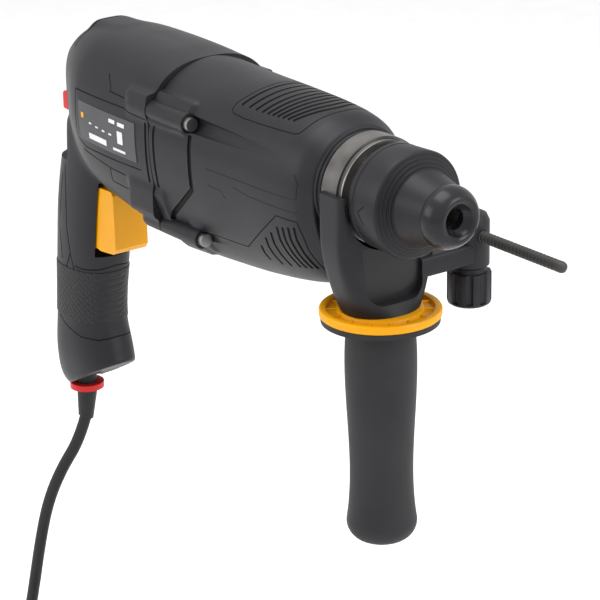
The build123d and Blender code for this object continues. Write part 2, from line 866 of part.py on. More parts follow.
grip_top = guard_top - guard_thickness - 0.3
with BuildPart() as side_grip:
    with BuildSketch(flank()):
        with BuildLine():
            Polyline((bolt_radius + 0.3, -95), (bolt_radius + 0.3, grip_top), (guard_radius - 0.6, grip_top),
                     (guard_radius - 0.8, grip_top - 2.6), (15.9, grip_top - 3))
            Spline((15.9, grip_top - 3), (17.0, -93), (15.3, -147), (16.9, -163.7))
            ThreePointArc((16.9, -163.7), (14.0, -171.5), (9, handle_end))
            Polyline((9, handle_end), (0, handle_end), (0, -95), (bolt_radius + 0.3, -95))
        make_face()
    revolve(axis=Axis(point(0, 0, 0), (0, 0, 1)))

# Depth stop
with BuildPart() as depth_rod:
    with BuildSketch(across(rod_front - rod_length, rod_side, -rod_drop)):
        Circle(rod_radius)
    extrude(amount=rod_length)
with BuildPart() as depth_knob:
    add(post(knob_radius, clamp_station, rod_side, (clamp_bottom - knob_height - 0.4, clamp_bottom - 0.4)))

# Mode selector on the left side
mode_station = -78.0
mode_height = -22.0
with BuildPart() as mode_knob:
    add(crossbar(13.0, mode_station, mode_height, (35.6, 42.0)))
    add(block((mode_station - 12, mode_station + 12), (41.9, 43.4), (mode_height - 3.4, mode_height + 3.4)))

pieces = {
    "gearbox_cover": gearbox_cover,
    "side_straps": side_straps,
    "damper_block": damper_block,
    "gear_case": gear_case,
    "bearing_plate": bearing_plate,
    "spindle": spindle,
    "locking_balls": locking_balls,
    "spindle_gear": spindle_gear,
    "stop_ring": stop_ring,
    "dust_cap": dust_cap,
    "lock_sleeve": lock_sleeve,
    "lock_ring": lock_ring,
    "sleeve_spring": sleeve_spring,
    "front_seal": front_seal,
    "spindle_bearing": spindle_bearing,
    "beat_piece": beat_piece,
    "ram": ram,
    "ram_seal": ram_seal,
    "piston": piston,
    "piston_pin": piston_pin,
    "layshaft": layshaft,
    "lay_gear": lay_gear,
    "spindle_pinion": spindle_pinion,
    "wobble_hub": wobble_hub,
    "wobble_plate": wobble_plate,
    "layshaft_bearings": layshaft_bearings,
    "motor_pinion": motor_pinion,
    "armature_shaft": armature_shaft,
    "motor_bearings": motor_bearings,
    "armature_core": armature_core,
    "armature_windings": armature_windings,
    "commutator": commutator,
    "fan": fan,
    "stator": stator,
    "field_coils": field_coils,
    "brushes": brushes,
    "brush_holders": brush_holders,
    "rear_housing_right": rear_housing_right,
    "rear_housing_left": rear_housing_left,
    "grip_pad": grip_pad,
    "front_screws": front_screws,
    "trigger": trigger,
    "trigger_pin": trigger_pin,
    "switch_module": switch_module,
    "damper_bellows": damper_bellows,
    "cord_collar": cord_collar,
    "strain_relief": strain_relief,
    "cord": cord,
    "cord_coil": cord_coil,
    "cord_tail": cord_tail,
    "power_plug": power_plug,
    "plug_pins": plug_pins,
    "handle_bracket": handle_bracket,
    "clamp_band": clamp_band,
    "hand_guard": hand_guard,
    "side_grip": side_grip,
    "clamp_bolt": clamp_bolt,
    "depth_rod": depth_rod,
    "depth_knob": depth_knob,
    "mode_knob": mode_knob,
}
for name, piece in pieces.items():
    piece.part.label = name
    export_step(piece.part, f"parts/{name}.step")
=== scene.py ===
import json
import math
import bpy
import bmesh
from mathutils import Matrix, Vector
from mathutils.bvhtree import BVHTree


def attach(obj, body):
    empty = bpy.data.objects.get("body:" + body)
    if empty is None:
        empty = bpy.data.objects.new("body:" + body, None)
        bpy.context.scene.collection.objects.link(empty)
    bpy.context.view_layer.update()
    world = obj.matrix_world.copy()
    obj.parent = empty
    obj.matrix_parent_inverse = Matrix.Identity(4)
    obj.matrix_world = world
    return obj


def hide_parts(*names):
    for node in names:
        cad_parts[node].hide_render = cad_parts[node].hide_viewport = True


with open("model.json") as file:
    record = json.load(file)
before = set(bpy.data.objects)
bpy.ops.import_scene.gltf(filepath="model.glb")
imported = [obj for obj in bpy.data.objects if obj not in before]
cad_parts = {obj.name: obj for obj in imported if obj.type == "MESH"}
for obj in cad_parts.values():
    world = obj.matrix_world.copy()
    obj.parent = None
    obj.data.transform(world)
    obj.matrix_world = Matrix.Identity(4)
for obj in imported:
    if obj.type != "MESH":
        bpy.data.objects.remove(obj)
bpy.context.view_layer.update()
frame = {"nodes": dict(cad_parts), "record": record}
nodes = frame["nodes"]
print("frame loaded")

# Sizes below are in millimetres, counted from the tool axis above the side handle
axisPlace = {"forward": 252.0, "up": 112.0}


# Camera, floor and light
camera = {"lens": 162.0, "place": (1.17569, -0.72567, 0.49373), "turn": (69.695, 0.937, 53.319)}
cameraData = bpy.data.cameras.new("camera")
cameraData.lens = camera["lens"]
cameraData.sensor_width = 36
cameraData.clip_end = 20
cameraObject = bpy.data.objects.new("camera", cameraData)
cameraObject.location = camera["place"]
cameraObject.rotation_euler = [math.radians(a) for a in camera["turn"]]
bpy.context.scene.collection.objects.link(cameraObject)
bpy.context.scene.camera = cameraObject


def link(name, mesh):
    piece = bpy.data.objects.new(name, mesh)
    bpy.context.scene.collection.objects.link(piece)
    return piece


def lamp(name, place, target, size, power, tint=(1, 1, 1)):
    light = bpy.data.lights.new(name, "AREA")
    light.shape = "RECTANGLE"
    light.size, light.size_y = size
    light.energy = power
    light.color = tint
    holder = bpy.data.objects.new(name, light)
    holder.location = place
    holder.rotation_euler = (Vector(target) - Vector(place)).to_track_quat("-Z", "Y").to_euler()
    bpy.context.scene.collection.objects.link(holder)


studio = {"floorSize": 9.0, "floorHeight": -0.2565, "skyColour": (1, 1, 1), "skyStrength": 0.9}
floorShape = bmesh.new()
bmesh.ops.create_grid(floorShape, x_segments=1, y_segments=1, size=studio["floorSize"])
bmesh.ops.translate(floorShape, verts=floorShape.verts, vec=(0, 0, studio["floorHeight"]))
floorMesh = bpy.data.meshes.new("floor")
floorShape.to_mesh(floorMesh)
floorShape.free()
floor = link("floor", floorMesh)
world = bpy.data.worlds.new("studio")
world.use_nodes = True
world.node_tree.nodes["Background"].inputs["Color"].default_value = (*studio["skyColour"], 1)
world.node_tree.nodes["Background"].inputs["Strength"].default_value = studio["skyStrength"]
bpy.context.scene.world = world
bpy.context.scene.view_settings.view_transform = "Standard"
lamp("topSoftbox", (0.1, -0.2, 1.6), (0.1, 0, 0.1), (1.4, 1.0), 20)
lamp("frontSoftbox", (1.5, 0.6, 0.8), (0.2, 0, 0.1), (0.7, 1.1), 12)
lamp("sideSoftbox", (-0.4, -1.5, 0.7), (0.1, 0, 0.08), (1.2, 0.8), 9)
print("camera, floor and light set")

# Mains lead: drop from the grip, coil under the tool, and the tail to the plug
lead = {
    "diameter": 0.0068,
    "length": 2.45,
    "exit": (-0.0119, -0.0012, -0.085),
    "drop": [
        (-0.0119, -0.0012, -0.085), (-0.0146, -0.0048, -0.100), (-0.0208, -0.0133, -0.117),
        (-0.0258, -0.0202, -0.137), (-0.0291, -0.0246, -0.161), (-0.0320, -0.0286, -0.189),
        (-0.0345, -0.0325, -0.213), (-0.0350, -0.0410, -0.234), (-0.0340, -0.0560, -0.248),
        (-0.0310, -0.0760, -0.2524), (-0.0220, -0.0960, -0.2526), (-0.0050, -0.1100, -0.2526),
        (0.0170, -0.1160, -0.2526), (0.0380, -0.1160, -0.2526), (0.0560, -0.1160, -0.2526),
    ],
    "tail": [
        (0.111, -0.061, -0.239), (0.111, -0.043, -0.239), (0.111, -0.025, -0.239),
        (0.1104, -0.004, -0.245), (0.108, 0.015, -0.2524), (0.108, 0.033, -0.2524),
    ],
    "coilPlace": (0.065, -0.070),
    "coilCells": [(46, 0), (46, 1), (39, 1), (39, 0), (32, 0), (32, 1), (32, 2), (39, 2), (46, 2)],
    "layerHeight": 0.0068,
    "floorLine": -0.2526,
    "pointsPerTurn": 18,
    "firstShift": 330, "shiftEvery": 345, "shiftTakes": 40, "coilEnd": 2970,
}


def coilPoint(degrees):
    shifts = (degrees - lead["firstShift"]) / lead["shiftEvery"]
    index = max(0, min(len(lead["coilCells"]) - 2, math.floor(shifts)))
    share = (degrees - lead["firstShift"] - index * lead["shiftEvery"]) / lead["shiftTakes"]
    share = max(0.0, min(1.0, share))
    share = share * share * (3 - 2 * share)
    here, there = lead["coilCells"][index], lead["coilCells"][index + 1]
    radius = (here[0] + (there[0] - here[0]) * share) / 1000
    layer = here[1] + (there[1] - here[1]) * share
    turn = math.radians(degrees - 90)
    x, y = lead["coilPlace"]
    return (x + radius * math.cos(turn), y + radius * math.sin(turn),
            lead["floorLine"] + layer * lead["layerHeight"])


def leadRoute():
    step = 360 / lead["pointsPerTurn"]
    count = round(lead["coilEnd"] / step)
    turns = [coilPoint(i * step) for i in range(1, count)]
    return lead["drop"] + turns + lead["tail"]


leadCurve = bpy.data.curves.new("mainsLead", "CURVE")
leadCurve.dimensions = "3D"
leadRoutePoints = leadRoute()
spline = leadCurve.splines.new("NURBS")
spline.points.add(len(leadRoutePoints) - 1)
for point, place in zip(spline.points, leadRoutePoints):
    point.co = (*place, 1)
    point.radius = lead["diameter"] / 2
spline.order_u = 3
spline.use_endpoint_u = True
spline.resolution_u = 6
leadCurve.bevel_depth = 1  # scaled by each point's radius
leadCurve.bevel_resolution = 3
leadCurve.use_fill_caps = True
mainsLead = bpy.data.objects.new("mainsLead", leadCurve)
bpy.context.scene.collection.objects.link(mainsLead)
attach(mainsLead, "housing")
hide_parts("cord", "cord_coil", "cord_tail")
print("lead laid")


# Shared effects
def newGroup(name, inputs, outputs):
    group = bpy.data.node_groups.new(name, "ShaderNodeTree")
    for label, kind, value in inputs:
        socket = group.interface.new_socket(label, in_out="INPUT", socket_type=kind)
        if value is not None:
            socket.default_value = value
    for label, kind in outputs:
        group.interface.new_socket(label, in_out="OUTPUT", socket_type=kind)
    return group, group.nodes.new("NodeGroupInput"), group.nodes.new("NodeGroupOutput")


def mathNode(tree, operation, first, second=None, clamp=False):
    node = tree.nodes.new("ShaderNodeMath")
    node.operation = operation
    node.use_clamp = clamp
    for socket, value in zip(node.inputs, (first, second)):
        if isinstance(value, bpy.types.NodeSocket):
            tree.links.new(value, socket)
        elif value is not None:
            socket.default_value = value
    return node.outputs[0]


def buildMouldedGrain():
    group, inside, outside = newGroup(
        "mouldedGrain",
        [("Vector", "NodeSocketVector", None), ("Grain Scale", "NodeSocketFloat", 2200.0),
         ("Patch Scale", "NodeSocketFloat", 40.0)],
        [("Height", "NodeSocketFloat"), ("Patches", "NodeSocketFloat")],
    )
    fine = group.nodes.new("ShaderNodeTexNoise")
    fine.inputs["Detail"].default_value = 3
    fine.inputs["Roughness"].default_value = 0.6
    patches = group.nodes.new("ShaderNodeTexNoise")
    patches.inputs["Detail"].default_value = 4
    group.links.new(inside.outputs["Vector"], fine.inputs["Vector"])
    group.links.new(inside.outputs["Grain Scale"], fine.inputs["Scale"])
    group.links.new(inside.outputs["Vector"], patches.inputs["Vector"])
    group.links.new(inside.outputs["Patch Scale"], patches.inputs["Scale"])
    group.links.new(fine.outputs[0], outside.inputs["Height"])
    group.links.new(patches.outputs[0], outside.inputs["Patches"])
    return group


def buildTurnedMarks():
    group, inside, outside = newGroup(
        "turnedMarks",
        [("Vector", "NodeSocketVector", None), ("Along", "NodeSocketFloat", 900.0),
         ("Around", "NodeSocketFloat", 6.0)],
        [("Height", "NodeSocketFloat"), ("Patches", "NodeSocketFloat")],
    )
    split = group.nodes.new("ShaderNodeSeparateXYZ")
    group.links.new(inside.outputs["Vector"], split.inputs[0])
    stretched = group.nodes.new("ShaderNodeCombineXYZ")
    group.links.new(mathNode(group, "MULTIPLY", split.outputs[0], inside.outputs["Along"]),
                    stretched.inputs[0])
    group.links.new(mathNode(group, "MULTIPLY", split.outputs[1], inside.outputs["Around"]),
                    stretched.inputs[1])
    group.links.new(mathNode(group, "MULTIPLY", split.outputs[2], inside.outputs["Around"]),
                    stretched.inputs[2])
    lines = group.nodes.new("ShaderNodeTexNoise")
    lines.inputs["Scale"].default_value = 1
    lines.inputs["Detail"].default_value = 3
    group.links.new(stretched.outputs[0], lines.inputs["Vector"])
    cloud = group.nodes.new("ShaderNodeTexNoise")
    cloud.inputs["Scale"].default_value = 60
    group.links.new(inside.outputs["Vector"], cloud.inputs["Vector"])
    group.links.new(lines.outputs[0], outside.inputs["Height"])
    group.links.new(cloud.outputs[0], outside.inputs["Patches"])
    return group


mouldedGrain = buildMouldedGrain()
turnedMarks = buildTurnedMarks()


def diamondHeight(tree, vector, pitch):
    split = tree.nodes.new("ShaderNodeSeparateXYZ")
    tree.links.new(vector, split.inputs[0])
    rate = 2 * math.pi / pitch
    leftRun = mathNode(tree, "ADD", split.outputs[0], split.outputs[2])
    rightRun = mathNode(tree, "SUBTRACT", split.outputs[0], split.outputs[2])
    waves = [mathNode(tree, "SINE", mathNode(tree, "MULTIPLY", run, rate)) for run in (leftRun, rightRun)]
    return mathNode(tree, "MAXIMUM", waves[0], waves[1])


def newMaterial(name, look):
    material = bpy.data.materials.new(name)
    material.use_nodes = True
    tree = material.node_tree
    shader = tree.nodes["Principled BSDF"]
    shader.inputs["Metallic"].default_value = look.get("metal", 0)
    shader.inputs["IOR"].default_value = look.get("ior", 1.48)
    shader.inputs["Specular IOR Level"].default_value = look.get("shine", 0.27)
    shader.inputs["Coat Weight"].default_value = look.get("coat", 0)
    shader.inputs["Coat Roughness"].default_value = look.get("coatRough", 0.2)
    place = tree.nodes.new("ShaderNodeTexCoord")
    effect = tree.nodes.new("ShaderNodeGroup")
    effect.node_tree = turnedMarks if look.get("turned") else mouldedGrain
    tree.links.new(place.outputs["Object"], effect.inputs["Vector"])
    if look.get("turned"):
        effect.inputs["Along"].default_value = look.get("along", 900)
        effect.inputs["Around"].default_value = look.get("around", 6)
    else:
        effect.inputs["Grain Scale"].default_value = look.get("grain", 2200)
        effect.inputs["Patch Scale"].default_value = look.get("patch", 40)
    tone = tree.nodes.new("ShaderNodeMapRange")
    tone.inputs["From Min"].default_value = 0.3
    tone.inputs["From Max"].default_value = 0.7
    tree.links.new(effect.outputs["Patches"], tone.inputs["Value"])
    paint = tree.nodes.new("ShaderNodeMix")
    paint.data_type = "RGBA"
    paint.inputs["A"].default_value = (*look["dark"], 1)
    paint.inputs["B"].default_value = (*look["light"], 1)
    tree.links.new(tone.outputs["Result"], paint.inputs["Factor"])
    tree.links.new(paint.outputs["Result"], shader.inputs["Base Color"])
    rough = tree.nodes.new("ShaderNodeMapRange")
    rough.inputs["From Min"].default_value = 0.3
    rough.inputs["From Max"].default_value = 0.7
    rough.inputs["To Min"].default_value = look["rough"][0]
    rough.inputs["To Max"].default_value = look["rough"][1]
    tree.links.new(effect.outputs["Patches"], rough.inputs["Value"])
    tree.links.new(rough.outputs["Result"], shader.inputs["Roughness"])
    bump = tree.nodes.new("ShaderNodeBump")
    bump.inputs["Strength"].default_value = look.get("bump", 0.15)
    bump.inputs["Distance"].default_value = look.get("depth", 0.0002)
    height = effect.outputs["Height"]
    if look.get("diamond"):
        height = diamondHeight(tree, place.outputs["Object"], look["diamond"])
    tree.links.new(height, bump.inputs["Height"])
    tree.links.new(bump.outputs["Normal"], shader.inputs["Normal"])
    return material


looks = {
    "casingPlastic": {"dark": (0.010, 0.010, 0.0125), "light": (0.015, 0.015, 0.018), "rough": (0.40, 0.50),
                      "bump": 0.22, "grain": 1900},
    # Near-black finish: painted shade for groove walls, slots, holes and the hollow inside the casing
    "paintedRecessShade": {"dark": (0.0015, 0.0015, 0.0015), "light": (0.0025, 0.0025, 0.0025),
                    "rough": (0.6, 0.7)},
    "softGrip": {"dark": (0.014, 0.014, 0.016), "light": (0.022, 0.022, 0.024), "rough": (0.50, 0.62),
                 "bump": 0.3, "grain": 1400},
    "capRubber": {"dark": (0.010, 0.010, 0.012), "light": (0.016, 0.016, 0.018), "rough": (0.20, 0.30),
                  "bump": 0.06, "grain": 1200},
    "yellowPlastic": {"dark": (0.70, 0.30, 0.001), "light": (0.77, 0.345, 0.0015), "rough": (0.32, 0.42),
                      "bump": 0.12, "grain": 1700},
    "redPlastic": {"dark": (0.50, 0.012, 0.012), "light": (0.60, 0.02, 0.02), "rough": (0.35, 0.45),
                   "bump": 0.1},
    "satinSteel": {"dark": (0.30, 0.29, 0.28), "light": (0.46, 0.44, 0.42), "rough": (0.30, 0.42),
                   "metal": 1, "turned": True, "bump": 0.1},
    "darkSteel": {"dark": (0.10, 0.098, 0.095), "light": (0.20, 0.19, 0.18), "rough": (0.30, 0.42),
                  "metal": 1, "turned": True, "bump": 0.1},
    "gearSteel": {"dark": (0.26, 0.26, 0.27), "light": (0.40, 0.40, 0.41), "rough": (0.25, 0.40),
                  "metal": 1, "turned": True},
    "castAlloy": {"dark": (0.36, 0.36, 0.37), "light": (0.50, 0.50, 0.51), "rough": (0.45, 0.60),
                  "metal": 1, "grain": 900, "bump": 0.3},
    "motorIron": {"dark": (0.07, 0.07, 0.075), "light": (0.13, 0.13, 0.14), "rough": (0.45, 0.6),
                  "metal": 1, "turned": True, "along": 2400},
    "windingCopper": {"dark": (0.45, 0.17, 0.06), "light": (0.62, 0.27, 0.11), "rough": (0.25, 0.4),
                      "metal": 1, "grain": 700, "bump": 0.4},
    "brushCarbon": {"dark": (0.02, 0.02, 0.02), "light": (0.035, 0.035, 0.035), "rough": (0.6, 0.7)},
    "insulator": {"dark": (0.34, 0.28, 0.18), "light": (0.42, 0.36, 0.25), "rough": (0.5, 0.6)},
    "sealRubber": {"dark": (0.05, 0.02, 0.012), "light": (0.08, 0.035, 0.02), "rough": (0.4, 0.5)},
    "leadRubber": {"dark": (0.012, 0.012, 0.013), "light": (0.019, 0.019, 0.020), "rough": (0.42, 0.54),
                   "bump": 0.15, "grain": 900},
    "labelGrey": {"dark": (0.06, 0.06, 0.065), "light": (0.075, 0.075, 0.08), "rough": (0.45, 0.5),
                  "bump": 0.05},
    "labelWhite": {"dark": (0.62, 0.62, 0.62), "light": (0.72, 0.72, 0.72), "rough": (0.5, 0.55),
                   "bump": 0.03},
    "bracketFace": {"dark": (0.014, 0.014, 0.016), "light": (0.020, 0.020, 0.022), "rough": (0.30, 0.38),
                    "bump": 0.08, "grain": 1400},
    "gripRubber": {"dark": (0.012, 0.012, 0.014), "light": (0.018, 0.018, 0.020), "rough": (0.44, 0.56),
                   "bump": 0.55, "depth": 0.0004, "diamond": 0.0036},
    "rodPlastic": {"dark": (0.03, 0.03, 0.03), "light": (0.045, 0.043, 0.041), "rough": (0.35, 0.45),
                   "bump": 0.1},
    "floorPaint": {"dark": (0.86, 0.86, 0.86), "light": (0.88, 0.88, 0.88), "rough": (0.7, 0.8), "bump": 0},
}
finishes = {name: newMaterial(name, look) for name, look in looks.items()}
slotFinish = {
    "body_plastic": "casingPlastic", "soft_grip": "softGrip", "yellow_plastic": "yellowPlastic",
    "red_plastic": "redPlastic",
    "cap_rubber": "capRubber", "steel": "satinSteel", "band_steel": "darkSteel", "gear_steel": "gearSteel",
    "cast_alloy": "castAlloy",
    "lamination": "motorIron", "copper": "windingCopper", "carbon": "brushCarbon", "insulator": "insulator",
    "cord_rubber": "leadRubber", "cover_seal": "sealRubber",
}
for part in frame["record"]["subparts"]:
    finish = finishes[slotFinish[part["material_slot"]]]
    node = nodes[part["node"]]
    node.data.materials.clear()
    node.data.materials.append(finish)
mainsLead.data.materials.append(finishes["leadRubber"])
floor.data.materials.append(finishes["floorPaint"])
print("finishes mixed")


# Modelling helpers
toFrame = Matrix.Translation(Vector((axisPlace["forward"], 0,
                                     axisPlace["up"])) / 1000) @ Matrix.Diagonal((0.001, 0.001, 0.001, 1))


def between(value, low, high, soft):
    rise = max(0.0, min(1.0, (value - low) / soft + 0.5))
    fall = max(0.0, min(1.0, (high - value) / soft + 0.5))
    share = rise * fall
    return share * share * (3 - 2 * share)


def skinAt(place, rows):
    for row in range(len(rows) - 1):
        if rows[row][0] >= place >= rows[row + 1][0]:
            break
    first, second = rows[row], rows[row + 1]
    run = second[0] - first[0]
    share = (place - first[0]) / run
    size = []
    for column in range(1, len(first)):
        slopes = []
        for knot in (row, row + 1):
            before, after = rows[max(knot - 1, 0)], rows[min(knot + 1, len(rows) - 1)]
            slopes.append((after[column] - before[column]) / (after[0] - before[0]) * run)
        cube, square = share ** 3, share ** 2
        size.append((2 * cube - 3 * square + 1) * first[column] + (cube - 2 * square + share) * slopes[0]
                    + (3 * square - 2 * cube) * second[column] + (cube - square) * slopes[1])
    return size


def steps(start, end, pitch):
    count = max(1, round(abs(end - start) / pitch))
    return [start + (end - start) * i / count for i in range(count + 1)]


def eggPoint(x, size, turn):
    halfWidth, top, depth = size
    return Vector((x, halfWidth * math.cos(turn), (top if math.sin(turn) > 0 else depth) * math.sin(turn)))


# Grid rolled into a tube: each ring is a function from the turn about it to a place
def wrapped(rings, around, closeEnds=False):
    shape = bmesh.new()
    bmesh.ops.create_grid(shape, x_segments=len(rings) - 1, y_segments=around, size=1)
    for corner in shape.verts:
        column = round((corner.co.x + 1) / 2 * (len(rings) - 1))
        turn = (corner.co.y + 1) * math.pi
        corner.co = rings[column](turn)
    bmesh.ops.remove_doubles(shape, verts=shape.verts, dist=0.001)
    if closeEnds:
        bmesh.ops.holes_fill(shape, edges=shape.edges, sides=0)
    bmesh.ops.recalc_face_normals(shape, faces=shape.faces)
    return shape


# Closed outline of (place along the axis, radius), spun about that axis
def lathed(profile, along="x", around=96, place=(0, 0, 0)):
    shape = bmesh.new()
    corners = [shape.verts.new((a, r, 0) if along == "x" else (r, 0, a)) for a, r in profile]
    outline = [shape.edges.new((a, b)) for a, b in zip(corners, corners[1:] + corners[:1])]
    bmesh.ops.spin(shape, geom=corners + outline, cent=(0, 0, 0),
                   axis=(1, 0, 0) if along == "x" else (0, 0, 1),
                   angle=2 * math.pi, steps=around, use_merge=True)
    bmesh.ops.remove_doubles(shape, verts=shape.verts, dist=0.0005)
    bmesh.ops.dissolve_degenerate(shape, edges=shape.edges, dist=0.0005)
    bmesh.ops.recalc_face_normals(shape, faces=shape.faces)
    bmesh.ops.translate(shape, verts=shape.verts, vec=place)
    return shape


def brick(low, high, soften=0.0, segments=3):
    shape = bmesh.new()
    bmesh.ops.create_cube(shape, size=1)
    low, high = Vector(low), Vector(high)
    bmesh.ops.scale(shape, vec=high - low, verts=shape.verts)
    bmesh.ops.translate(shape, vec=(low + high) / 2, verts=shape.verts)
    if soften:
        bmesh.ops.bevel(shape, geom=shape.edges[:], offset=soften, affect="EDGES", segments=segments,
                        profile=0.5, material=-1)
    return shape


def rod(start, end, radius, endRadius=None, around=32):
    shape = bmesh.new()
    start, end = Vector(start), Vector(end)
    bmesh.ops.create_cone(shape, cap_ends=True, segments=around, radius1=radius,
                          radius2=radius if endRadius is None else endRadius, depth=(end - start).length)
    bmesh.ops.rotate(shape, verts=shape.verts,
                     matrix=Vector((0, 0, 1)).rotation_difference(end - start).to_matrix())
    bmesh.ops.translate(shape, verts=shape.verts, vec=(start + end) / 2)
    return shape


# Turns a shape in drawing millimetres into a piece in place, smooth but for its sharp edges
def finishPiece(name, shape, body, finish, replaced=(), sharp=35):
    bmesh.ops.transform(shape, matrix=toFrame, verts=shape.verts)
    for face in shape.faces:
        face.smooth = True
    for edge in shape.edges:
        edge.smooth = len(edge.link_faces) == 2 and edge.calc_face_angle(0) < math.radians(sharp)
    mesh = bpy.data.meshes.new(name)
    shape.to_mesh(mesh)
    shape.free()
    piece = link(name, mesh)
    if not mesh.materials:
        mesh.materials.append(finishes[finish])
    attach(piece, body)
    if replaced:
        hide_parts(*replaced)
    return piece


def scratch(name, shape, finish=None):
    mesh = bpy.data.meshes.new(name)
    shape.to_mesh(mesh)
    shape.free()
    if finish:
        mesh.materials.append(finishes[finish])
    return link(name, mesh)


# The piece's mesh with its modifiers applied; the piece is removed
def baked(piece):
    bpy.context.view_layer.update()
    result = bpy.data.meshes.new_from_object(piece.evaluated_get(bpy.context.evaluated_depsgraph_get()))
    bpy.data.objects.remove(piece)
    return result


# Takes cutters from a piece in one exact boolean; cut walls keep the cutter's finish, so cutters in the
# near-black finish paint shade into the cut
def carve(base, cutters, mode="DIFFERENCE"):
    group = bpy.data.collections.new("cutters")
    bpy.context.scene.collection.children.link(group)
    for cutter in cutters:
        group.objects.link(cutter)
    change = base.modifiers.new("carve", "BOOLEAN")
    change.operation = mode
    change.operand_type = "COLLECTION"
    change.collection = group
    change.solver = "EXACT"
    change.material_mode = "TRANSFER"
    name = base.name
    mesh = baked(base)
    for cutter in cutters:
        bpy.data.objects.remove(cutter)
    bpy.data.collections.remove(group)
    piece = link(name, mesh)
    return piece


def surfaceOf(piece):
    bpy.context.view_layer.update()
    return BVHTree.FromObject(piece, bpy.context.evaluated_depsgraph_get())


# The points joined by runs of short steps laid on a surface
def onSurface(tree, points, pitch=2.0):
    route = []
    for start, end in zip(points, points[1:]):
        start, end = Vector(start), Vector(end)
        count = max(1, round((end - start).length / pitch))
        route += [start.lerp(end, i / count) for i in range(count)]
    route.append(Vector(points[-1]))
    return [tree.find_nearest(p)[0] for p in route]


# Thin bar along a route, used to cut a line or to lay a bead
def wire(name, points, radius, finish=None, closed=False, sides=2):
    curve = bpy.data.curves.new(name, "CURVE")
    curve.dimensions = "3D"
    run = curve.splines.new("POLY")
    run.points.add(len(points) - 1)
    for corner, place in zip(run.points, points):
        corner.co = (*place, 1)
    run.use_cyclic_u = closed
    curve.bevel_depth = radius
    curve.bevel_resolution = sides
    curve.use_fill_caps = not closed
    holder = link(name, curve)
    mesh = baked(holder)
    bar = link(name, mesh)
    if finish:
        mesh.materials.append(finishes[finish])
    return bar


def bothSides(points):
    return [points, [(x, -y, z) for x, y, z in points]]


# A carved piece brought from drawing millimetres into the frame
def placed(name, piece, body, replaced=(), sharp=35):
    mesh = piece.data
    mesh.transform(toFrame)
    shape = bmesh.new()
    shape.from_mesh(mesh)
    for face in shape.faces:
        face.smooth = True
    for edge in shape.edges:
        edge.smooth = len(edge.link_faces) == 2 and edge.calc_face_angle(0) < math.radians(sharp)
    shape.to_mesh(mesh)
    shape.free()
    piece.name = name
    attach(piece, body)
    if replaced:
        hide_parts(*replaced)
    return piece


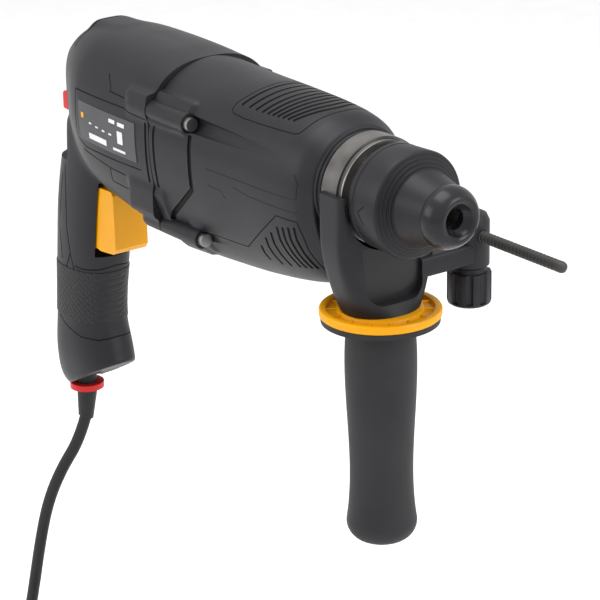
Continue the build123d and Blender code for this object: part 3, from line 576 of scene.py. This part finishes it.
# Front cover
cover = {
    "rows": [(-15.7, 27.4, 27.4, 45.0), (-24, 31.8, 31.4, 50.5), (-40, 33.8, 33.6, 55.0),
             (-70, 34.8, 34.6, 59.5),
             (-100, 36.2, 34.8, 62.0), (-134, 37.6, 35.6, 64.0)],
    "pitch": 1.1, "around": 240, "wall": 7.6, "mouth": 26.0,
    "blockRise": 2.0, "lowBlockRise": 1.8,
    "ribLine": 0.85, "seamLine": 0.35, "strapGroove": 0.9, "thickGroove": 1.5,
    "ribPlaces": [(-72, 5, 21.5), (-66, 5.3, 21.5), (-60.5, 5.7, 21.4), (-55.2, 6.2, 21.3),
                  (-50.6, 6.8, 21.1),
                  (-46.4, 7.4, 20.8), (-42.4, 8.0, 20.4), (-38.3, 8.6, 20.0), (-34.2, 9.1, 19.5),
                  (-30.2, 9.6, 19.0)],
    "patchOutline": [(-76.0, 0, 34), (-76.2, -5.7, 34.2), (-78.4, -15.3, 31.3), (-81.1, -21.5, 27.6),
                     (-80.8, -24.3, 25.2),
                     (-78.4, -25.5, 23.8), (-69.7, -25.7, 23.3), (-56.5, -25.3, 23.3), (-44.0, -24.5, 23.5),
                     (-33.5, -23.3, 23.6), (-30.9, -22.3, 24.2), (-29.8, -19.7, 26.2), (-28.6, -14.2, 29.4),
                     (-27.2, -7.0, 31.6), (-26.3, 0, 31.9)],
    "lowOutline": [(-101.2, -27.3, -40.8), (-68.8, -25.7, -40.0), (-51.3, -30.3, -26.6),
                   (-36.5, -32.3, -14.6),
                   (-23.5, -29.8, -14.8), (-21.9, -27.6, -21.8), (-21.6, -24.8, -29.2),
                   (-20.9, -21.9, -33.9),
                   (-20.4, -18.6, -37.8), (-20.4, -13.0, -42.0)],
    "lowRibs": [[(-56.0, -27.2, -35.4), (-56.4, -24.9, -39.9), (-55.0, -22.5, -43.5)],
                [(-49.4, -29.3, -29.3), (-49.8, -27.2, -34.6), (-48.8, -25.0, -38.7),
                 (-46.6, -21.4, -43.8)],
                [(-43.6, -30.2, -25.0), (-44.0, -28.1, -31.1), (-42.8, -25.7, -36.2),
                 (-39.8, -21.0, -42.6)],
                [(-37.7, -31.1, -20.7), (-38.0, -29.1, -27.6), (-36.5, -26.3, -33.8),
                 (-33.2, -20.6, -41.4)],
                [(-33.6, -30.9, -19.8), (-34.0, -28.9, -26.6), (-32.6, -25.9, -33.1),
                 (-29.4, -19.6, -40.6)],
                [(-29.6, -30.5, -18.9), (-30.0, -28.7, -25.5), (-28.6, -25.5, -32.4),
                 (-26.0, -18.7, -39.7)],
                [(-25.8, -30.1, -18.1), (-26.0, -28.4, -24.5), (-24.7, -25.0, -31.7),
                 (-22.9, -18.0, -39.4)]],
    "strapLines": [[(-129.6, -35.8, 8.4), (-130.2, -36.7, 5.5), (-130.2, -37.4, -2.8),
                    (-130.4, -36.3, -16.0), (-130.6, -35.3, -24.0)]],
    "thickLine": [(-101.6, -34.9, 9.4), (-101.2, -36.2, -0.7), (-101.8, -34.8, -18.2),
                  (-112.4, -33.2, -27.2),
                  (-124.6, -30.4, -36.6), (-126.7, -29.1, -40.2)],
    "faintLines": [[(-88.2, -35.6, -3.9), (-22.4, -31.1, -3.7), (-21.6, -30.6, 3.9), (-24.2, -30.5, 8.0)],
                   [(-67.4, -34.3, -8.4), (-56.9, -33.9, -9.8), (-22.6, -29.6, -10.0)],
                   [(-88.0, -35.0, -12.0), (-78.0, -34.6, -12.6), (-75.0, -34.4, -16.0)]],
    "channel": ((-103.6, 33.6, 14.7), (-20.0, 33.4, 14.7), 4.3, 3.0),
    "lowSlot": ((-104.5, 27.2, -45.0), (-66.0, 28.6, -43.0), 3.7, 2.4),
    "screwPlaces": [(34.0, 14.7), (27.8, -45.0)], "screwBlock": 4.9, "screwBlockRun": (-133.8, -103.6),
    "faintLine": 0.22, "channelSides": 48,
}


def coverRise(place):
    side = abs(place.y)
    if side < 14:
        return 0.0
    high = between(place.x, -150, -105.0, 2.2) * between(place.z, 8.6, 23.0, 2.0)
    low = between(place.x, -150, -126.5, 2.2) * between(place.z, -43.0, -26.0, 2.4)
    foot = between(place.x, -112.5, -103.5, 4.0) * between(place.z, -54.0, -38.0, 3.0)
    band = between(place.x, -150, -113.0, 5.0) * between(place.z, -60.0, -41.0, 3.0)
    return cover["blockRise"] * high + cover["lowBlockRise"] * low + 1.2 * max(foot, band)


# Moves each corner out along its normal by the rise that a function gives for its place
def swellShape(shape, rise):
    shape.normal_update()
    moves = [(corner, corner.normal.copy() * rise(corner.co)) for corner in shape.verts]
    for corner, move in moves:
        corner.co += move


def makeCover():
    rows = cover["rows"]
    rings = []
    for x in steps(rows[-1][0] + 0.2, rows[0][0], cover["pitch"]):
        rings.append(lambda turn, x=x: eggPoint(x, skinAt(x, rows), turn))
    for x, inset in ((-15.3, 0.35), (-15.1, 0.9)):
        size = [value - inset for value in rows[0][1:]]
        rings.append(lambda turn, x=x, size=size: eggPoint(x, size, turn))
    rings.append(lambda turn: eggPoint(-15.1, [cover["mouth"]] * 3, turn))
    shape = wrapped(rings, cover["around"])
    swellShape(shape, coverRise)
    base = scratch("frontCover", shape, "casingPlastic")
    wall = base.modifiers.new("wall", "SOLIDIFY")
    wall.thickness = cover["wall"]
    wall.offset = -1
    wall.use_even_offset = False
    base = link("frontCover", baked(base))
    tree = surfaceOf(base)
    cutters = []
    for start, end, radius, endRadius in (cover["channel"], cover["lowSlot"]):
        for hand in (1, -1):
            cutters.append(scratch("channel",
                                   rod((start[0], hand * start[1], start[2]),
                                       (end[0], hand * end[1], end[2]), radius, endRadius,
                                       cover["channelSides"]), "casingPlastic"))
    # Rib, seam, strap and thick groove walls take the near-black finish as painted shade; the faint lines
    # keep the casing plastic
    for middle, bow, reach in cover["ribPlaces"]:
        rib = []
        for share in steps(-1, 1, 1 / 7):
            rib.append((middle - bow * abs(share) ** 1.7, reach * share, 34 - 6.5 * share * share))
        cutters.append(wire("rib", onSurface(tree, rib), cover["ribLine"], "paintedRecessShade"))
    patch = cover["patchOutline"]
    loop = patch + [(x, -y, z) for x, y, z in reversed(patch[1:-1])]
    cutters.append(wire("patchLine", onSurface(tree, loop + loop[:1])[:-1], cover["seamLine"],
                        "paintedRecessShade", closed=True))
    for line in [cover["lowOutline"]] + cover["lowRibs"]:
        radius = cover["seamLine"] if line is cover["lowOutline"] else cover["ribLine"]
        cutters += [wire("lowLine", onSurface(tree, side), radius,
                         "paintedRecessShade") for side in bothSides(line)]
    for line in cover["strapLines"]:
        cutters += [wire("strapLine", onSurface(tree, side), cover["strapGroove"],
                         "paintedRecessShade") for side in bothSides(line)]
    cutters += [wire("thickLine", onSurface(tree, side), cover["thickGroove"],
                     "paintedRecessShade") for side in bothSides(cover["thickLine"])]
    for line in cover["faintLines"]:
        cutters += [wire("faintLine", onSurface(tree, side), cover["faintLine"],
                         "casingPlastic") for side in bothSides(line)]
    blocks = bmesh.new()
    for side, height in cover["screwPlaces"]:
        for hand in (1, -1):
            mesh = bpy.data.meshes.new("block")
            back, front = cover["screwBlockRun"]
            block = rod((back, hand * side, height), (front, hand * side, height), cover["screwBlock"])
            block.to_mesh(mesh)
            blocks.from_mesh(mesh)
    finishPiece("screwBlocks", blocks, "housing", "casingPlastic")
    piece = carve(base, cutters)
    return placed("frontCover", piece, "housing", ("gearbox_cover", "side_straps"))


frontCover = makeCover()
print("front cover made")

noseCollar = finishPiece("noseCollar", lathed(
    [(-16.5, 24.5), (-12.0, 24.5), (-11.7, 24.8), (-11.7, 25.2), (-12.0, 25.5), (-13.1, 25.5),
     (-13.4, 25.7),
     (-13.4, 26.3), (-13.7, 26.6), (-16.5, 26.6)], around=128), "housing", "casingPlastic")
print("nose collar made")

# Rear casing: motor housing and main grip, in one moulded shape in place of the two halves
casing = {
    "rows": [(-132.0, 37.5, 35.6, 64.0), (-165, 38.0, 37.4, 59.5), (-200, 36.0, 38.0, 53.5),
             (-212, 32.6, 37.4, 51.5),
             (-225, 26.2, 35.4, 50.0), (-238, 19.0, 29.4, 48.0), (-249, 12.8, 22.6, 46.0),
             (-256, 8.4, 16.5, 43.0)],
    "gripRows": [(-18, -234, 21.0, 17.6), (-30, -237, 22.2, 17.5), (-60, -245, 22.8, 17.0),
                 (-95, -250, 22.8, 16.6),
                 (-118, -253, 22.2, 15.9), (-134, -254, 22.6, 16.0), (-150, -252.6, 25.8, 16.8),
                 (-160, -251.6, 27.4, 16.2),
                 (-168, -252.2, 26.4, 14.8), (-173.4, -252.9, 24.4, 12.6), (-176.0, -253, 22.0, 10.6)],
    "footSlope": (-263.0, -175.4, 0.56),
    "fullness": 2.55, "gripFullness": 2.35,
    "voxel": 1.25, "softening": 14,
    "blocks": [((-153.6, 26.0, 8.2), (-128.0, 38.4, 22.6), 2.2),
               ((-158.0, 24.0, -41.5), (-128.0, 36.2, -23.5), 2.6)],
    "hump": ((-229.0, -12.5, 24.0), (-196.0, 12.5, 38.4), 6.0),
    "screwBlocks": [(34.4, 14.7), (28.0, -45.0)], "screwBlockRadius": 4.9,
    "screwBlockRun": (-150.0, -128.0),
    "frontTrim": ((-134.3, -60, -90), (-100, 60, 60)), "hollowRun": (-132.5, -240.0), "blend": 0.5,
    "hollow": 6.0,
    "triggerSlot": ((-243.5, -11.1, -93.0), (-204.0, 11.1, -49.8)),
    "damperWindow": ((-263.0, -40, -41.0), (-244.5, 40, -4.5)),
    "vents": [[(-236.5, -17.5, 25.5), (-233.6, -11.0, 32.0), (-232.0, 0, 35.5)],
              [(-231.0, -19.0, 25.5), (-228.2, -12.4, 32.0), (-226.6, 0, 36.6)],
              [(-225.4, -20.5, 25.5), (-222.6, -13.8, 32.4), (-221.0, 0, 37.4)]],
    "ventRadius": 0.85,
    "sideLines": [[(-203.8, -34.0, 10.5), (-156.0, -36.3, 11.1), (-135.3, -35.9, 10.6)],
                  [(-203.8, -34.0, 10.5), (-205.5, -33.7, -15.3), (-196.4, -34.3, -18.6),
                   (-143.3, -36.5, -17.8)],
                  [(-174.4, -34.3, -24.2), (-177.1, -31.1, -32.3), (-159.0, -32.1, -32.7)],
                  [(-174.4, -34.3, -24.2), (-159.6, -34.8, -24.6)],
                  [(-174.9, -30.2, 22.4), (-169.4, -33.5, 17.4), (-169.9, -34.2, 16.0),
                   (-156.5, -34.6, 15.5)],
                  [(-201.0, -34.0, -21.0), (-174.4, -34.3, -24.2)]],
    "gripLines": [[(-247.4, -16.5, -44.0), (-248.9, -16.6, -79.9), (-246.9, -16.2, -94.3),
                   (-243.9, -15.5, -106.0),
                   (-251.3, -16.1, -121.7), (-262.5, -14.9, -128.0)],
                  [(-247.4, -16.2, -94.3), (-262.8, -14.9, -124.4)],
                  [(-250.8, -15.9, -49.1), (-257.4, -15.3, -77.8), (-255.8, -16.2, -98.7)]],
    "padTop": [(-243.9, -15.9, -100.2), (-238.0, -13.0, -100.6), (-232.0, -9.0, -100.2),
               (-228.0, -4.0, -99.2), (-227.4, 0, -98.8)],
    "padFoot": [(-263.0, -14.9, -133.0), (-256.0, -16.5, -136.6), (-242.8, -14.8, -140.4),
                (-233.6, -9.3, -141.4),
                (-230.6, -4.0, -140.6), (-230.0, 0, -140.2)],
    "line": 0.4, "doubleLine": 0.9,
    "strapLine": [(-136.6, -36.6, 8.6), (-136.8, -37.5, -4.0), (-137.4, -35.6, -22.9)],
}


def fullPoint(x, size, turn, fullness):
    halfWidth, top, depth = size
    across, up = math.cos(turn), math.sin(turn)
    power = 2 / (fullness if up > 0 else 2.1)
    return Vector((x, halfWidth * math.copysign(abs(across) ** power, across),
                   (top if up > 0 else depth) * math.copysign(abs(up) ** power, up)))


def bodyShape(inset, front, back):
    rings = []
    for x in steps(back, front, 2.2):
        size = [value - inset for value in skinAt(x, casing["rows"])]
        rings.append(lambda turn, x=x, size=size: fullPoint(x, size, turn, casing["fullness"]))
    if not inset:
        end = casing["rows"][-1]
        for x, share in ((end[0] - 0.8, 0.86), (end[0] - 1.2, 0.66)):
            size = [value * share for value in end[1:]]
            rings.insert(0, lambda turn, x=x, size=size: fullPoint(x, size, turn, casing["fullness"]))
    return wrapped(rings, 140, closeEnds=True)


def ovalPoint(row, turn, fullness):
    height, station, halfLength, halfWidth = row
    across, along = math.sin(turn), math.cos(turn)
    power = 2 / fullness
    return Vector((station + halfLength * math.copysign(abs(along) ** power, along),
                   halfWidth * math.copysign(abs(across) ** power, across), height))


def gripShape(grow=0.0, top=None, foot=None):
    rows = casing["gripRows"]
    top = rows[0][0] if top is None else top
    foot = rows[-1][0] if foot is None else foot
    rings = []
    for height in steps(top, foot, 2.2):
        station, halfLength, halfWidth = skinAt(height, rows)
        row = (height, station, halfLength + grow, halfWidth + grow)
        rings.append(lambda turn, row=row: ovalPoint(row, turn, casing["gripFullness"]))
    shape = wrapped(rings, 120, closeEnds=True)
    station, height, slope = casing["footSlope"]
    for corner in shape.verts:
        corner.co.z = max(corner.co.z, height + slope * (corner.co.x - station))
    return shape


def mirroredBrick(low, high, soften):
    return brick((low[0], -high[1], low[2]), (high[0], -low[1], high[2]), soften)


def makeCasing():
    solids = [bodyShape(0.0, casing["rows"][0][0], casing["rows"][-1][0]), gripShape(),
              brick(*casing["hump"])]
    for low, high, soften in casing["blocks"]:
        solids += [brick(low, high, soften), mirroredBrick(low, high, soften)]
    for side, height in casing["screwBlocks"]:
        for hand in (1, -1):
            back, front = casing["screwBlockRun"]
            solids.append(rod((back, hand * side, height), (front, hand * side, height),
                              casing["screwBlockRadius"]))
    joined = bmesh.new()
    for solid in solids:
        mesh = bpy.data.meshes.new("part")
        solid.to_mesh(mesh)
        solid.free()
        joined.from_mesh(mesh)
        bpy.data.meshes.remove(mesh)
    base = scratch("rearCasing", joined, "casingPlastic")
    skin = base.modifiers.new("skin", "REMESH")
    skin.mode = "VOXEL"
    skin.voxel_size = casing["voxel"]
    mesh = baked(base)
    shape = bmesh.new()
    shape.from_mesh(mesh)
    bpy.data.meshes.remove(mesh)
    bmesh.ops.smooth_vert(shape, verts=shape.verts, factor=casing["blend"], use_axis_x=True,
                          use_axis_y=True, use_axis_z=True)
    for _ in range(casing["softening"]):
        joint = [v for v in shape.verts if -66 < v.co.z < -26 and v.co.x < -200
                 or v.co.z > 18 and v.co.x < -156]
        bmesh.ops.smooth_vert(shape, verts=joint, factor=casing["blend"], use_axis_x=True, use_axis_y=True,
                              use_axis_z=True)
    for _ in range(2):
        bmesh.ops.smooth_vert(shape, verts=shape.verts, factor=casing["blend"], use_axis_x=True,
                              use_axis_y=True, use_axis_z=True)
    base = scratch("rearCasing", shape, "casingPlastic")
    tree = surfaceOf(base)
    # The hollow inside, trigger slot, damper window, vents and lines take the near-black finish: painted
    # shade in the openings and grooves
    cutters = [
        scratch("front", brick(*casing["frontTrim"]), "casingPlastic"),
        scratch("hollow", bodyShape(casing["hollow"], *casing["hollowRun"]), "paintedRecessShade"),
        scratch("slot", brick(*casing["triggerSlot"]), "paintedRecessShade"),
        scratch("window", brick(*casing["damperWindow"], 2.5), "paintedRecessShade"),
    ]
    for line in casing["vents"]:
        whole = line + [(x, -y, z) for x, y, z in reversed(line[:-1])]
        cutters.append(wire("vent", onSurface(tree, whole, 1.5), casing["ventRadius"], "paintedRecessShade"))
    for line in casing["sideLines"] + casing["gripLines"]:
        cutters += [wire("line", onSurface(tree, side), casing["line"],
                         "paintedRecessShade") for side in bothSides(line)]
    cutters += [wire("strapLine", onSurface(tree, side), casing["doubleLine"],
                     "paintedRecessShade") for side in bothSides(casing["strapLine"])]
    for line in (casing["padTop"], casing["padFoot"]):
        whole = line + [(x, -y, z) for x, y, z in reversed(line[:-1])]
        cutters.append(wire("padLine", onSurface(tree, whole), casing["line"], "paintedRecessShade"))
    piece = carve(base, cutters)
    return placed("rearCasing", piece, "housing",
                  ("rear_housing_right", "rear_housing_left"), sharp=40), tree


rearCasing, casingTree = makeCasing()
print("rear casing made")

gripCover = {"top": -102.5, "foot": -132.0, "grow": 0.35}


def makeGripPad():
    base = scratch("gripPad", gripShape(gripCover["grow"], gripCover["top"], gripCover["foot"]),
                   "gripRubber")
    return placed("gripPad", base, "housing", ("grip_pad",))


gripPad = makeGripPad()

damper = {
    "block": ((-252.5, -13.6, -15.0), (-243.0, 13.6, -5.0), 1.4),
    "bellows": ((-251.0, -11.0, -42.0), (-243.0, 11.0, -14.0), 2.0),
}
damperBlock = finishPiece("damperBlock", brick(*damper["block"]), "housing", "redPlastic",
                          ("damper_block",))
damperBellows = finishPiece("damperBellows", brick(*damper["bellows"]), "housing", "softGrip",
                            ("damper_bellows",))

# Label: thin plate on the right side's panel with plain symbols
label = {
    "corners": ((-200.0, -14.6), (-145.8, 5.8)), "lift": 0.3,
    "rings": [(-187.0, -3.6, 2.6), (-180.6, -4.2, 2.6), (-174.2, -4.6, 2.6), (-167.8, -4.8, 2.6)],
    "bars": [(-180.5, -10.4, 17.0, 3.0), (-165.6, 2.4, 5.4, 1.9), (-157.4, 2.2, 6.0, 1.9),
             (-160.2, -11.6, 11.0, 1.3),
             (-158.6, -4.6, 4.6, 6.4)],
    "mark": (-195.0, -1.0, 3.6),
}


def sideSpot(x, z, lift):
    hit = casingTree.ray_cast(Vector((x, -80, z)), Vector((0, 1, 0)))
    return hit[0] + hit[1] * lift, hit[1]


# Lays a flat shape, drawn in X and Y, on the right side's panel
def stamped(shape, x, z, lift):
    spot, facing = sideSpot(x, z, lift)
    across = Vector((1, 0, 0)) - facing * facing.x
    across.normalize()
    up = facing.cross(across)
    turn = Matrix((across, up, facing)).transposed().to_4x4()
    bmesh.ops.transform(shape, verts=shape.verts, matrix=Matrix.Translation(spot) @ turn)
    return shape


def flatRing(radius, width, height=0.25):
    shape = bmesh.new()
    bmesh.ops.create_circle(shape, cap_ends=True, segments=32, radius=radius)
    bmesh.ops.inset_region(shape, faces=shape.faces[:], thickness=width)
    inner = [face for face in shape.faces if len(face.verts) > 4]
    if width < radius:
        bmesh.ops.delete(shape, geom=inner, context="FACES")
    bmesh.ops.solidify(shape, geom=shape.faces[:], thickness=height)
    bmesh.ops.recalc_face_normals(shape, faces=shape.faces)
    return shape


def flatBar(width, height, thick=0.25):
    return brick((-width / 2, -height / 2, 0), (width / 2, height / 2, thick))


def gathered(shapes):
    whole = bmesh.new()
    for shape in shapes:
        mesh = bpy.data.meshes.new("part")
        shape.to_mesh(mesh)
        shape.free()
        whole.from_mesh(mesh)
        bpy.data.meshes.remove(mesh)
    return whole


def makeLabel():
    (left, low), (right, high) = label["corners"]
    plate = bmesh.new()
    bmesh.ops.create_grid(plate, x_segments=26, y_segments=12, size=1)
    for corner in plate.verts:
        x = left + (corner.co.x + 1) / 2 * (right - left)
        z = low + (corner.co.y + 1) / 2 * (high - low)
        corner.co = sideSpot(x, z, label["lift"])[0]
    bmesh.ops.recalc_face_normals(plate, faces=plate.faces)
    if sum(face.normal.y for face in plate.faces) > 0:
        bmesh.ops.reverse_faces(plate, faces=plate.faces)
    bmesh.ops.solidify(plate, geom=plate.faces[:], thickness=0.5)
    bmesh.ops.recalc_face_normals(plate, faces=plate.faces)
    finishPiece("labelPlate", plate, "housing", "labelGrey")
    lift = label["lift"] + 0.05
    marks = []
    for x, z, radius in label["rings"]:
        marks.append(stamped(flatRing(radius, 0.55), x, z, lift))
        marks.append(stamped(flatBar(radius * 0.9, 0.8), x, z, lift))
    marks += [stamped(flatBar(width, height), x, z, lift) for x, z, width, height in label["bars"]]
    x, z, radius = label["mark"]
    marks.append(stamped(flatRing(radius, 0.9), x, z, lift))
    finishPiece("labelPrint", gathered(marks), "housing", "labelWhite")
    finishPiece("labelDot", stamped(flatBar(2.6, 2.6), x, z, lift), "housing",
                "yellowPlastic")


makeLabel()
print("label made")

# Side handle
bracket = {
    "rows": [(3.0, -1.0, 9.0, 28.8, 9.0), (-20.0, -1.0, 9.0, 28.8, 8.0), (-30.0, -0.9, 9.6, 27.6, 6.0),
             (-40.0, -0.6, 11.4, 25.0, 4.2), (-50.0, -0.2, 14.4, 21.8, 2.8), (-56.2, 0.0, 16.4, 19.6, 2.1)],
    "throat": 26.05, "front": ((8.1, -16.5, -50.5), (30.0, 16.5, 12.0), 8.5),
    "back": ((-30.0, -15.0, -46.0), (-10.2, 15.0, 12.0), 7.0),
    "arm": ((-6.5, 12.0, -44.0), (10.5, 52.0, -34.0), 1.6),
    "boss": (2.0, 52.0), "bossProfile": [(-46.5, 0), (-46.5, 9.2), (-46.1, 9.6), (-24.5, 9.6), (-21.4, 8.2),
                                         (-19.8, 5.0), (-19.5, 0)],
    "rodHole": (3.05, 52.0, -30.5),
}


def bracketPoint(row, turn):
    height, middle, halfDepth, halfWidth, fullness = row
    across, along = math.sin(turn), math.cos(turn)
    power = 2 / fullness
    return Vector((middle + halfDepth * math.copysign(abs(along) ** power, along),
                   halfWidth * math.copysign(abs(across) ** power, across), height))


# Brick whose two lower edges along the tool are rounded
def roundedFoot(low, high, radius):
    shape = brick(low, high)
    edges = [e for e in shape.edges if all(abs(v.co.z - low[2]) < 0.01 for v in e.verts)
             and abs(e.verts[0].co.x - e.verts[1].co.x) > 1]
    bmesh.ops.bevel(shape, geom=edges, offset=radius, affect="EDGES", segments=10, profile=0.5, material=-1)
    return shape


def makeBracket():
    rings = []
    for height in steps(bracket["rows"][0][0], bracket["rows"][-1][0], 1.3):
        row = (height, *skinAt(height, bracket["rows"]))
        rings.append(lambda turn, row=row: bracketPoint(row, turn))
    base = scratch("handleBracket", wrapped(rings, 160, closeEnds=True), "casingPlastic")
    x, y = bracket["boss"]
    additions = [
        scratch("arm", brick(*bracket["arm"]), "casingPlastic"),
        scratch("boss", lathed(bracket["bossProfile"], "z", 64, (x, y, 0)), "casingPlastic"),
    ]
    base = carve(base, additions, "UNION")
    radius, side, height = bracket["rodHole"]
    # The rod and bolt holes take the near-black finish as painted shade
    cutters = [
        scratch("throat", rod((-40, 0, 0), (40, 0, 0), bracket["throat"], around=128), "casingPlastic"),
        scratch("front", roundedFoot(*bracket["front"]), "bracketFace"),
        scratch("back", roundedFoot(*bracket["back"]), "bracketFace"),
        scratch("rodHole", rod((-30, side, height), (30, side, height), radius), "paintedRecessShade"),
        scratch("boltHole", rod((0, 0, -80), (0, 0, 0), 4.1), "paintedRecessShade"),
    ]
    piece = carve(base, cutters)
    return placed("handleBracket", piece, "side_handle", ("handle_bracket",), sharp=32)


handleBracket = makeBracket()
print("bracket made")

depthRodSizes = {"rear": -96.0, "front": 69.0, "radius": 2.8, "toothPitch": 2.5, "toothDepth": 0.45,
                 "plain": 3.0}


def makeDepthRod():
    sizes = depthRodSizes
    profile = [(sizes["rear"], 0), (sizes["rear"], sizes["radius"] - 0.4),
               (sizes["rear"] + 0.4, sizes["radius"])]
    count = int((sizes["front"] - sizes["rear"] - 2 * sizes["plain"]) / sizes["toothPitch"])
    for tooth in range(count):
        start = sizes["rear"] + sizes["plain"] + tooth * sizes["toothPitch"]
        low = sizes["radius"] - sizes["toothDepth"]
        profile += [(start, sizes["radius"]), (start + 0.35, low), (start + 0.95, low),
                    (start + 1.3, sizes["radius"])]
    front = sizes["front"]
    profile += [(front - 2.0, 2.8), (front - 1.0, 2.45), (front - 0.3, 1.6), (front, 0)]
    return finishPiece("depthRod", lathed(profile, "x", 28, (0, 52.0, -30.5)), "depth_rod",
                       "rodPlastic",
                       ("depth_rod",), sharp=30)


depthRod = makeDepthRod()

knob = {
    "place": (2.0, 52.0), "profile": [(-65.9, 0), (-65.9, 9.2), (-65.2, 10.2), (-64.0, 10.6), (-50.5, 10.6),
                                      (-49.6, 10.2),
                                      (-49.4, 8.6), (-47.2, 8.2), (-46.95, 7.6), (-46.95, 0)],
    "flutes": 9, "fluteRadius": 2.3, "fluteReach": 11.6,
}


def makeKnob():
    x, y = knob["place"]
    base = scratch("depthKnob", lathed(knob["profile"], "z", 96, (x, y, 0)), "casingPlastic")
    cutters = []
    for flute in range(knob["flutes"]):
        turn = 2 * math.pi * flute / knob["flutes"]
        place = (x + knob["fluteReach"] * math.cos(turn), y + knob["fluteReach"] * math.sin(turn))
        cutters.append(scratch("flute", rod((*place, -64.4), (*place, -40), knob["fluteRadius"], around=24),
                               "casingPlastic"))
    return placed("depthKnob", carve(base, cutters), "depth_knob", ("depth_knob",))


depthKnob = makeKnob()
print("depth stop made")

guard = {
    "profile": [(-60.1, 4.4), (-60.1, 28.3), (-59.6, 28.8), (-57.0, 28.8), (-56.3, 28.4), (-56.1, 27.7),
                (-56.1, 26.2),
                (-56.4, 25.5), (-58.2, 25.0), (-58.2, 20.6), (-56.6, 20.1), (-56.35, 19.6), (-56.35, 4.4)],
    "ribs": 14, "ribSize": (20.0, 25.4, 1.1, -57.2),
}


def makeGuard():
    whole = [lathed(guard["profile"], "z", 128)]
    inner, outer, width, top = guard["ribSize"]
    for rib in range(guard["ribs"]):
        bar = brick((inner, -width / 2, -59.0), (outer, width / 2, top), 0.25, 1)
        bmesh.ops.rotate(bar, verts=bar.verts,
                         matrix=Matrix.Rotation(2 * math.pi * rib / guard["ribs"], 3, "Z"))
        whole.append(bar)
    return finishPiece("handGuard", gathered(whole), "side_grip", "yellowPlastic",
                       ("hand_guard",))


handGuard = makeGuard()

sleeve = {
    "profile": [(8.4, 20.5), (28.0, 20.5), (28.0, 13.0), (46.6, 13.0), (46.9, 13.3), (46.9, 14.0),
                (46.6, 14.3),
                (33.2, 17.6), (32.6, 17.9), (31.9, 17.9), (31.6, 18.2), (31.6, 19.2), (31.3, 19.5),
                (30.7, 19.5),
                (30.4, 19.8), (30.4, 20.9), (30.1, 21.2), (29.5, 21.2), (29.2, 21.5), (29.2, 22.5),
                (28.9, 22.8),
                (28.3, 22.8), (28.0, 23.1), (27.9, 24.4), (27.4, 25.1), (26.4, 25.4), (12.4, 24.85),
                (11.8, 24.5),
                (11.4, 24.5), (11.0, 24.9), (9.4, 24.8), (8.7, 24.6), (8.4, 24.0)],
    "arrow": [(20.6, -24.6, 5.4), (15.6, -24.6, 1.6), (19.2, -24.6, -3.8)], "arrowTurn": 6, "line": 0.3,
}


def makeSleeve():
    base = scratch("lockSleeve", lathed(sleeve["profile"], "x", 144), "casingPlastic")
    tree = surfaceOf(base)
    arrow = [Matrix.Rotation(math.radians(sleeve["arrowTurn"]), 3,
                             "X") @ Vector(p) for p in sleeve["arrow"]]
    # The arrow's groove walls take the near-black finish as painted shade
    cutters = [wire("arrow", onSurface(tree, arrow, 1.0), sleeve["line"], "paintedRecessShade")]
    return placed("lockSleeve", carve(base, cutters), "lock_sleeve", ("lock_sleeve",),
                  sharp=28)


lockSleeve = makeSleeve()
print("handle and chuck made")

print("pieces made")
